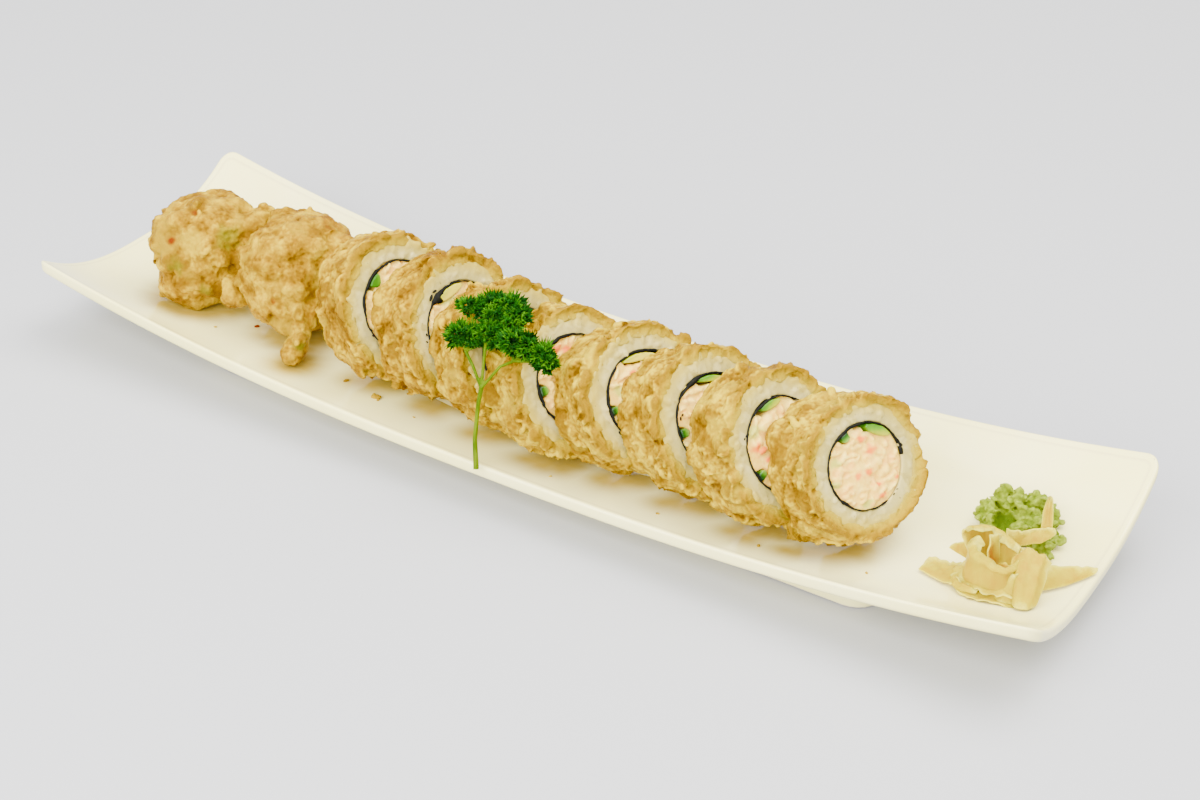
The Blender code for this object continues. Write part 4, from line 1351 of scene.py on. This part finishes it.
# Sheets of ginger as rows of points from the foot to the lip: an angle in degrees, a reach
# and a height above the plate in mm, round the middle of the rose
ROUND_SHEETS = {
    "rose": (
        (
            ((192, 7.6, 1.2), (232, 8.4, 1.0), (280, 8.2, 1.0), (320, 7.4, 1.0), (352, 6.4, 1.5)),
            ((184, 10.0, 6.0), (230, 11.6, 4.6), (280, 11.2, 4.0), (322, 9.8, 4.6), (362, 8.4, 6.4)),
            ((178, 10.0, 11.0), (228, 10.6, 11.0), (276, 9.6, 9.8), (318, 8.2, 8.8), (366, 8.0, 10.6)),
            ((176, 10.6, 13.4), (228, 10.6, 13.2), (274, 9.6, 11.6), (318, 8.6, 10.2), (368, 8.4, 12.0)),
            ((172, 8.6, 15.4), (228, 8.2, 14.2), (274, 7.2, 12.4), (318, 6.8, 10.8), (368, 6.8, 12.4)),
            ((168, 6.6, 14.6), (228, 6.0, 12.8), (274, 5.2, 11.0), (318, 5.2, 9.6), (368, 5.4, 11.2)),
        ),
        (
            ((110, 5.6, 2.0), (140, 3.6, 2.0), (200, 2.4, 2.0), (250, 4.6, 2.0), (262, 7.6, 2.2)),
            ((112, 6.0, 7.0), (140, 4.4, 8.0), (200, 3.0, 8.0), (246, 4.8, 7.0), (258, 8.4, 6.0)),
            ((114, 7.0, 12.0), (142, 5.2, 12.8), (200, 3.6, 11.8), (242, 5.0, 10.6), (254, 9.0, 10.0)),
            ((116, 7.8, 13.8), (146, 6.4, 14.2), (200, 4.4, 12.8), (238, 5.6, 11.6), (252, 9.4, 11.0)),
        ),
        (
            ((-70, 3.0, 2.0), (-30, 4.4, 2.0), (10, 5.4, 2.0), (50, 6.0, 2.0)),
            ((-80, 3.4, 7.0), (-34, 5.4, 8.0), (10, 6.6, 8.6), (54, 7.2, 8.0)),
            ((-88, 2.6, 9.4), (-38, 4.8, 11.6), (10, 6.8, 13.2), (58, 8.0, 12.0)),
        ),
    ),
    "skirt": (
        (
            ((196, 9.4, 5.8), (240, 9.4, 5.2), (285, 9.4, 5.0), (330, 9.8, 5.4)),
            ((200, 10.6, 2.6), (240, 11.0, 2.2), (285, 11.0, 2.0), (330, 11.8, 2.4)),
            ((206, 13.4, 1.2), (242, 13.8, 1.1), (287, 13.4, 1.1), (334, 15.6, 1.2)),
            ((208, 15.0, 1.6), (242, 15.2, 1.0), (288, 14.4, 1.0), (336, 17.2, 1.6)),
        ),
        (
            ((216, 9.0, 7.0), (250, 9.2, 6.6), (290, 9.2, 6.6), (322, 9.2, 7.2)),
            ((216, 11.0, 4.6), (250, 11.2, 4.0), (290, 11.2, 3.8), (322, 11.2, 4.4)),
            ((218, 12.8, 3.8), (250, 12.6, 3.0), (290, 12.4, 2.8), (320, 13.4, 3.6)),
        ),
        (
            ((200, 9.4, 3.0), (222, 10.4, 2.6), (244, 10.6, 2.4), (262, 10.2, 2.6)),
            ((204, 12.0, 3.8), (222, 12.8, 3.6), (244, 12.8, 3.4), (262, 12.0, 3.0)),
            ((204, 13.8, 2.4), (222, 14.4, 2.2), (244, 14.2, 2.0), (262, 13.2, 1.8)),
            ((206, 12.6, 1.4), (222, 13.2, 1.2), (244, 13.2, 1.2), (262, 12.2, 1.2)),
        ),
    ),
    "back": (
        (
            ((196, 7.2, 4.0), (168, 7.4, 4.0), (138, 7.2, 4.0), (104, 7.2, 4.0), (70, 7.4, 4.0)),
            ((192, 9.8, 10.4), (166, 10.0, 10.4), (136, 9.6, 10.0), (102, 9.0, 9.0), (70, 8.4, 8.0)),
            ((190, 12.6, 16.4), (166, 12.2, 16.8), (136, 11.0, 15.6), (102, 9.8, 13.2), (68, 9.2, 10.6)),
            ((190, 12.4, 18.4), (164, 11.0, 17.8), (134, 9.8, 16.2), (102, 8.6, 13.8), (68, 8.2, 11.0)),
            ((188, 11.2, 18.0), (162, 9.6, 16.6), (132, 8.4, 14.8), (102, 7.6, 12.2), (68, 7.4, 9.8)),
        ),
    ),
}

# The same with points from the middle of the rose: across, along and height, in mm
FREE_SHEETS = {
    "right": (
        (
            ((8.4, -10.0, 1.0), (10.8, -12.8, 0.9), (13.0, -12.6, 0.9), (14.6, -11, 0.9), (15.6, -8, 1.0)),
            ((6.2, -6.6, 6.6), (8.8, -7.2, 8.0), (11.6, -6.2, 8.2), (14.0, -5.2, 7.6), (15.6, -2.2, 6.6)),
            ((3.8, -1.6, 11.4), (6.4, -0.2, 13.4), (9.6, 0.9, 13.2), (12.4, 1.6, 12.8), (14.4, 2.8, 10.4)),
            ((3.4, -0.4, 12.4), (6.0, 2.2, 14.6), (9.4, 2.8, 14.2), (12.6, 3.2, 14.0), (14.8, 3.8, 11.0)),
            ((3.6, 1.2, 11.8), (6.0, 4.2, 13.8), (9.4, 4.6, 13.4), (12.8, 5.2, 12.6), (15.0, 5.0, 9.8)),
        ),
        (
            ((1.6, -10.6, 1.0), (5.2, -11.6, 0.9), (9.4, -10.8, 0.9)),
            ((2.6, -8.4, 5.0), (6.0, -8.8, 5.4), (9.2, -7.6, 6.2)),
            ((3.8, -5.6, 9.0), (6.4, -5.6, 9.6), (8.6, -4.6, 10.2)),
        ),
    ),
    "strip_left": (
        (
            ((-23.8, -5.6, 0.9), (-19.0, -7.4, 1.0), (-14.0, -9.2, 1.1), (-9.0, -9.4, 2.2)),
            ((-23.6, -2.0, 1.9), (-19.0, -3.2, 1.6), (-14.0, -4.6, 2.4), (-9.0, -5.0, 4.6)),
            ((-22.6, 1.6, 1.3), (-19.0, 1.8, 2.4), (-14.0, 1.2, 4.2), (-9.0, 0.0, 6.4)),
        ),
        (
            ((-17.8, 2.6, 7.4), (-13.0, 3.0, 5.5), (-8.5, 2.5, 5.0)),
            ((-17.4, 2.8, 8.4), (-13.0, 3.4, 8.2), (-8.5, 3.0, 8.0)),
            ((-16.6, 3.0, 9.4), (-12.6, 4.0, 10.6), (-8.5, 3.8, 11.0)),
        ),
    ),
    "strip_right": (
        (
            ((11.0, 0.0, 1.2), (18.0, 8.4, 1.1), (24.2, 19.6, 1.0)),
            ((12.0, 6.0, 4.0), (18.8, 13.4, 2.6), (24.6, 21.0, 1.3)),
            ((11.6, 11.4, 5.4), (18.0, 17.2, 3.8), (24.4, 22.0, 1.7)),
        ),
    ),
    "strip_back": (
        (
            ((-4.0, 12.6, 6.5), (1.0, 15.4, 7.2), (6.0, 18.2, 8.0), (8.6, 20.4, 9.4)),
            ((-4.0, 13.8, 9.2), (1.0, 16.8, 9.4), (6.2, 19.6, 10.0), (9.8, 21.6, 10.8)),
            ((-4.0, 14.8, 11.0), (1.0, 17.8, 11.4), (6.2, 20.8, 12.0), (9.4, 22.4, 12.2)),
        ),
        (
            ((5.0, 20.4, 8.0), (6.6, 21.2, 8.2), (8.2, 21.8, 8.0)),
            ((3.9, 23.2, 13.0), (5.5, 24.0, 13.2), (7.0, 24.6, 13.0)),
            ((3.2, 25.6, 17.0), (4.4, 26.0, 17.4), (5.6, 26.4, 17.0)),
            ((3.4, 27.2, 19.6), (3.8, 27.4, 19.9), (4.2, 27.6, 19.6)),
        ),
    ),
}


# Where the three parts of a drift are read in the noise
DRIFT_SHIFTS = ((9.3, 1.5, 7.9), (4.1, 12.7, 3.3), (5.6, 8.2, 14.4))


def drift(spot):
    """A smooth push at a place, the same each run."""
    return Vector([noise.noise(spot + Vector(shift)) for shift in DRIFT_SHIFTS])


def sheet_of(name, rows, seed, thick):
    """A thin wavy sheet through rows of points, calmer where it is narrow."""
    calm = 0.4 if len(rows[0]) < 4 else 1.0
    bpy.ops.object.select_all(action="DESELECT")
    bpy.ops.mesh.primitive_grid_add(x_subdivisions=54, y_subdivisions=26, size=2)
    sheet = bpy.context.object
    sheet.name = name
    co = places(sheet)
    along = (co[:, 0] + 1) / 2
    up = (co[:, 1] + 1) / 2
    lines = [between(row, along) for row in rows]
    middle = np.array([between([line[i] for line in lines], up[i]) for i in range(len(co))])
    middle[:, 2] += plate_height(middle[:, 0] * MM, middle[:, 1] * MM) / MM
    for i, spot in enumerate(middle):
        at = Vector(spot) + Vector((seed * 31, 0, 0))
        free = up[i] ** 2 + 0.15
        wave = drift(at * 0.15) * 1.2 + drift(at * 0.4) * 0.9
        ripple = drift(Vector((along[i] * 9, seed * 5, up[i] * 1.5))) * 0.8
        middle[i] += np.array(wave + ripple) * free * calm
    move_to(sheet, middle * MM)
    # Painted highlight at the sheet's edges, and painted shade low on it and near the middle of the rose
    paint(sheet, "edge", np.maximum(np.abs(up * 2 - 1), np.abs(along * 2 - 1)) ** 4)
    paint(sheet, "lift", up)
    away = np.hypot(middle[:, 0] - GINGER_CENTRE[0], middle[:, 1] - GINGER_CENTRE[1])
    paint(sheet, "deep", smooth_step(8.0, 4.0, away))
    use_modifier(sheet, "SOLIDIFY", thickness=thick * MM, offset=0)
    use_modifier(sheet, "SUBSURF", levels=1, render_levels=1)
    roughen(sheet, TEXTURES["swell"], 0.35)
    return sheet


def make_ginger(pickled):
    x0, y0 = GINGER_CENTRE
    sheets = {}
    for name, group in ROUND_SHEETS.items():
        sheets[name] = [
            [
                [
                    (x0 + r * math.cos(math.radians(a)), y0 + r * math.sin(math.radians(a)), h)
                    for a, r, h in row
                ]
                for row in rows
            ]
            for rows in group
        ]
    for name, group in FREE_SHEETS.items():
        sheets[name] = [[[(x0 + x, y0 + y, h) for x, y, h in row] for row in rows] for rows in group]
    for seed, (name, group) in enumerate(sheets.items()):
        parts = [sheet_of(f"ginger_{name}_{k}", rows, seed + k * 7, 0.4) for k, rows in enumerate(group)]
        petal = join(*parts)
        petal.name = f"pickled_ginger_{name}"
        settle(petal)
        finish_piece(petal, pickled, "ginger", f"ginger_{name}")


# Sprays of leaflets on each head of parsley: across, up, reach, in mm, and how many
SPRAYS = {
    "left": (
        (-15.4, -42.2, 55.9),
        (0.1, -0.62, 0.75),
        ((-1.5, 0.6, 4.0, 22), (3.5, 0.8, 3.2, 14), (8, 2.6, 4.0, 22), (12, 2.2, 3.0, 14)),
    ),
    "top": (
        (-5.4, -32.2, 61.4),
        (0.12, -0.42, 0.9),
        (
            (-13.5, 2.0, 2.4, 8),
            (-9, 2.6, 3, 12),
            (-5, 4, 4.6, 26),
            (0, 4.5, 4.6, 28),
            (3.6, 1.0, 4.0, 24),
            (1, -2.4, 3.8, 18),
            (-4, -0.6, 3.0, 10),
        ),
    ),
    "right": (
        (10.8, -39.6, 60.0),
        (0.2, -0.55, 0.8),
        ((-7, 0.5, 3.8, 18), (-2, -0.5, 4.0, 20), (3, -2.6, 3.4, 18), (5.4, -5, 2.6, 12)),
    ),
}


def leaflet_form(name, phase):
    """A small frilled leaflet, one unit long, growing along its up axis."""
    bpy.ops.object.select_all(action="DESELECT")
    bpy.ops.mesh.primitive_grid_add(x_subdivisions=14, y_subdivisions=2, size=2)
    form = bpy.context.object
    form.name = name
    co = places(form)
    column = np.round((co[:, 0] + 1) * 7)
    out = (co[:, 1] + 1) / 2
    fan = co[:, 0] * 1.5
    lobes = np.where(column % 2 == 1, 1.0, 0.62 - 0.06 * math.sin(phase * 5))
    reach = (0.1 + 0.9 * out) * (1 + (lobes - 1) * out) * (0.75 + 0.25 * np.cos(fan))
    shaped = np.empty_like(co)
    shaped[:, 0] = np.sin(fan) * reach * 0.8
    shaped[:, 1] = np.cos(fan) * reach + 0.1
    shaped[:, 2] = 0.26 * out * np.sin(fan * 4.2 + phase * 3) + 0.2 * out**2
    move_to(form, shaped)
    # Painted highlight, lighter towards the leaflet's tip
    paint(form, "tip", out)
    use_modifier(form, "SOLIDIFY", thickness=0.05, offset=0)
    return form


def make_parsley(leaf, stalk):
    chance = random.Random(3)
    forms = [leaflet_form(f"leaflet_{k}", k * 0.8 + 0.3) for k in range(4)]
    twigs = []
    for side, (middle, facing, sprays) in SPRAYS.items():
        out = Vector(facing).normalized()
        across = Vector((0, 0, 1)).cross(out).normalized()
        up = out.cross(across)
        fork = Vector(FORKS[side]) * MM
        matrices = [[], [], [], []]
        hearts = []
        for x, y, reach, count in sprays:
            heart = (Vector(middle) + across * x + up * y - out * 1.5) * MM
            twigs.append((fork, heart + out * 1.2 * MM))
            wide = (reach * 0.6 * MM, reach * 0.6 * MM, 0.9 * MM)
            hearts.append(laid(heart - out * 0.3 * MM, out, wide, x))
            for k in range(int(count * 1.5)):
                share_out = math.sqrt((k + 0.5) / (count * 1.5))
                a = k * 2.4 + chance.uniform(-0.3, 0.3)
                grow = across * math.cos(a) + up * math.sin(a)
                spot = heart + (grow * reach * share_out * 0.62 + out * (1 - share_out) * 2.4) * MM
                aim = (grow * (0.25 + share_out) + out * chance.uniform(0.25, 0.9)).normalized()
                side_way = aim.cross(out + grow * chance.uniform(-0.8, 0.8)).normalized()
                turn = Matrix((side_way, aim, side_way.cross(aim))).transposed().to_4x4()
                size = chance.uniform(2.3, 3.7) * MM
                long = size * (0.9 + 0.5 * share_out)
                form_size = Matrix.Diagonal((size, long, size, 1))
                matrices[k % 4].append(Matrix.Translation(spot) @ turn @ form_size)
        heads = [scattered("leaflets", form, group) for form, group in zip(forms, matrices)]
        for form, group, part in zip(forms, matrices, heads):
            tips = np.array([value.value for value in form.data.attributes["tip"].data])
            paint(part, "tip", np.tile(tips, len(group)))
            paint(part, "tone", np.repeat([chance.random() for _ in group], len(tips)))
        core = balls("hearts", 3, hearts)
        roughen(core, TEXTURES["fold"], 1.6)
        # The hearts are painted a dark green, as painted shade deep in each head
        paint(core, "tip", np.full(len(core.data.vertices), 0.1))
        paint(core, "tone", np.full(len(core.data.vertices), 0.25))
        head = join(*heads, core)
        head.name = f"parsley_head_{side}"
        finish_piece(head, leaf, "parsley", f"parsley_leaf_{side}")
    for form in forms:
        bpy.data.objects.remove(form)
    stem = cast_from("parsley_stem", "parsley_stalks")
    co = places(stem)
    move_to(stem, co + smooth_step(42, 20, co[:, 2] / MM)[:, None] * (2.4 * MM, -4.4 * MM, -1.5 * MM))
    for start, end in twigs:
        along = end - start
        bpy.ops.mesh.primitive_cone_add(
            vertices=8,
            radius1=0.62 * MM,
            radius2=0.45 * MM,
            depth=along.length,
            location=(start + end) / 2,
            rotation=along.to_track_quat("Z", "Y").to_euler(),
        )
        twig = bpy.context.object
        pick(twig)
        bpy.ops.object.transform_apply(location=True, rotation=True, scale=True)
        join(stem, twig)
    use_modifier(stem, "REMESH", mode="VOXEL", voxel_size=0.25 * MM)
    use_modifier(stem, "SMOOTH", factor=0.5, iterations=5)
    move_to(stem, places(stem) - facings(stem) * 0.2 * MM)
    finish_piece(stem, stalk, "parsley_stem", "parsley_stem")


# Crumbs on the plate: x, y and size in mm; the last is a red one
CRUMBS = (
    (-56, -35, 1.5),
    (-54.5, -36, 0.8),
    (-71, -32, 0.9),
    (-58, -33.5, 0.6),
    (-38, -38, 0.5),
    (20, -43, 0.5),
    (60, -42, 0.6),
    (96, -41, 0.7),
    (131, -36, 0.6),
    (-128, -33, 0.6),
    (-118, 22, 0.8),
    (-60, 27, 0.9),
    (-20, 26, 0.7),
    (30, 27, 0.6),
    (75, 29, 0.9),
    (112, 24, 0.6),
    (-118.7, -21.4, 0.8),
)


def make_crumbs(batter):
    matrices = []
    for x, y, size in CRUMBS:
        z = plate_height(x * MM, y * MM) + size * 0.35 * MM
        scale = (size * 1.3 * MM, size * 0.8 * MM, size * 0.5 * MM)
        matrices.append(laid((x * MM, y * MM, z), (0, 0, 1), scale, x))
    crumbs = balls("fallen_crumbs", 2, matrices)
    use_modifier(crumbs, "SUBSURF", levels=1)
    roughen(crumbs, TEXTURES["crumb"], 0.5)
    paint(crumbs, "crest", np.full(len(crumbs.data.vertices), 0.6))
    x, y, _ = CRUMBS[-1]
    away = np.hypot(*(places(crumbs)[:, :2] / MM - (x, y)).T)
    paint(crumbs, "reds", away < 2)
    finish_piece(crumbs, batter, "crust")


# The studio


def aim_camera():
    """The photograph's viewpoint."""
    azimuth, elevation, roll = (math.radians(a) for a in (30.02, 32.79, 2.27))
    back = Vector(
        (
            math.cos(elevation) * math.sin(azimuth),
            -math.cos(elevation) * math.cos(azimuth),
            math.sin(elevation),
        )
    )
    level = Vector((math.cos(azimuth), math.sin(azimuth), 0))
    upright = back.cross(level)
    right = level * math.cos(roll) + upright * math.sin(roll)
    up = back.cross(right)
    matrix = Matrix((right, up, back)).transposed().to_4x4()
    matrix.translation = (0.339, -0.5645, 0.4392)
    bpy.ops.object.camera_add()
    camera = bpy.context.object
    camera.name = "viewpoint"
    camera.matrix_world = matrix
    camera.data.lens = 68.08
    camera.data.sensor_width = 36
    camera.data.clip_start = 0.01
    bpy.context.scene.camera = camera


def soft_box(name, spot, aim, size, power, colour):
    bpy.ops.object.light_add(type="AREA", location=spot)
    light = bpy.context.object
    light.name = name
    light.data.shape = "RECTANGLE"
    light.data.size, light.data.size_y = size
    light.data.energy = power
    light.data.color = colour
    light.rotation_euler = (Vector(aim) - Vector(spot)).to_track_quat("-Z", "Y").to_euler()


def make_studio():
    bpy.ops.object.select_all(action="DESELECT")
    bpy.ops.mesh.primitive_plane_add(size=6, location=(0, 0, -0.0002))
    floor = bpy.context.object
    floor.name = "floor"
    paper = surface("backdrop_paper", 0.9)
    paper.node_tree.nodes["Principled BSDF"].inputs["Base Color"].default_value = (0.39, 0.39, 0.395, 1)
    floor.data.materials.append(paper)
    soft_box("key_light", (0.45, 0.25, 1.2), (0, 0, 0.02), (1.1, 0.9), 38, (1.0, 0.985, 0.96))
    soft_box("fill_light", (0.05, -1.1, 0.8), (0.03, 0, 0.02), (1.6, 0.9), 78, (0.98, 0.985, 1.0))
    soft_box("top_light", (-0.2, 0.0, 1.4), (-0.1, 0, 0), (1.4, 1.2), 24, (1.0, 1.0, 1.0))
    world = bpy.data.worlds.new("room")
    world.use_nodes = True
    world.node_tree.nodes["Background"].inputs["Color"].default_value = (0.78, 0.79, 0.80, 1)
    world.node_tree.nodes["Background"].inputs["Strength"].default_value = 1.75
    bpy.context.scene.world = world


TEXTURES = {
    "heave": crumb_texture("CLOUDS", 11.0, noise_depth=0),
    "swell": crumb_texture("CLOUDS", 5.0, noise_depth=1),
    "fold": crumb_texture("CLOUDS", 2.0, noise_depth=1),
    "crackle": crumb_texture("VORONOI", 2.0),
    "crumb": crumb_texture("CLOUDS", 1.0, noise_depth=2),
}

SPECKLE = speckle_group()

batter = fried_batter()
cooked = cooked_rice()
dried = seaweed()
meat = crab_meat()
avocado = ripe_avocado()
cucumber = sliced_cucumber()
for number, entry in SLICES.items():
    make_crust(number, batter)
    make_rice(number, cooked)
    make_nori(number, dried)
    make_crab(number, meat)
    if "avocado" in entry:
        make_wedge(number, "avocado", "avocado_strip", avocado, AVOCADO_DEPTH)
    if "cucumber" in entry:
        make_wedge(number, "cucumber", "cucumber_stick", cucumber, CUCUMBER_DEPTH)
make_end_piece(1, batter)
make_end_piece(2, batter)
make_crumbs(batter)
make_wasabi(wasabi_paste())
make_ginger(pickled_ginger())
make_parsley(parsley_leaf(), parsley_stalk())
make_plate(glazed_plate())
make_studio()
aim_camera()
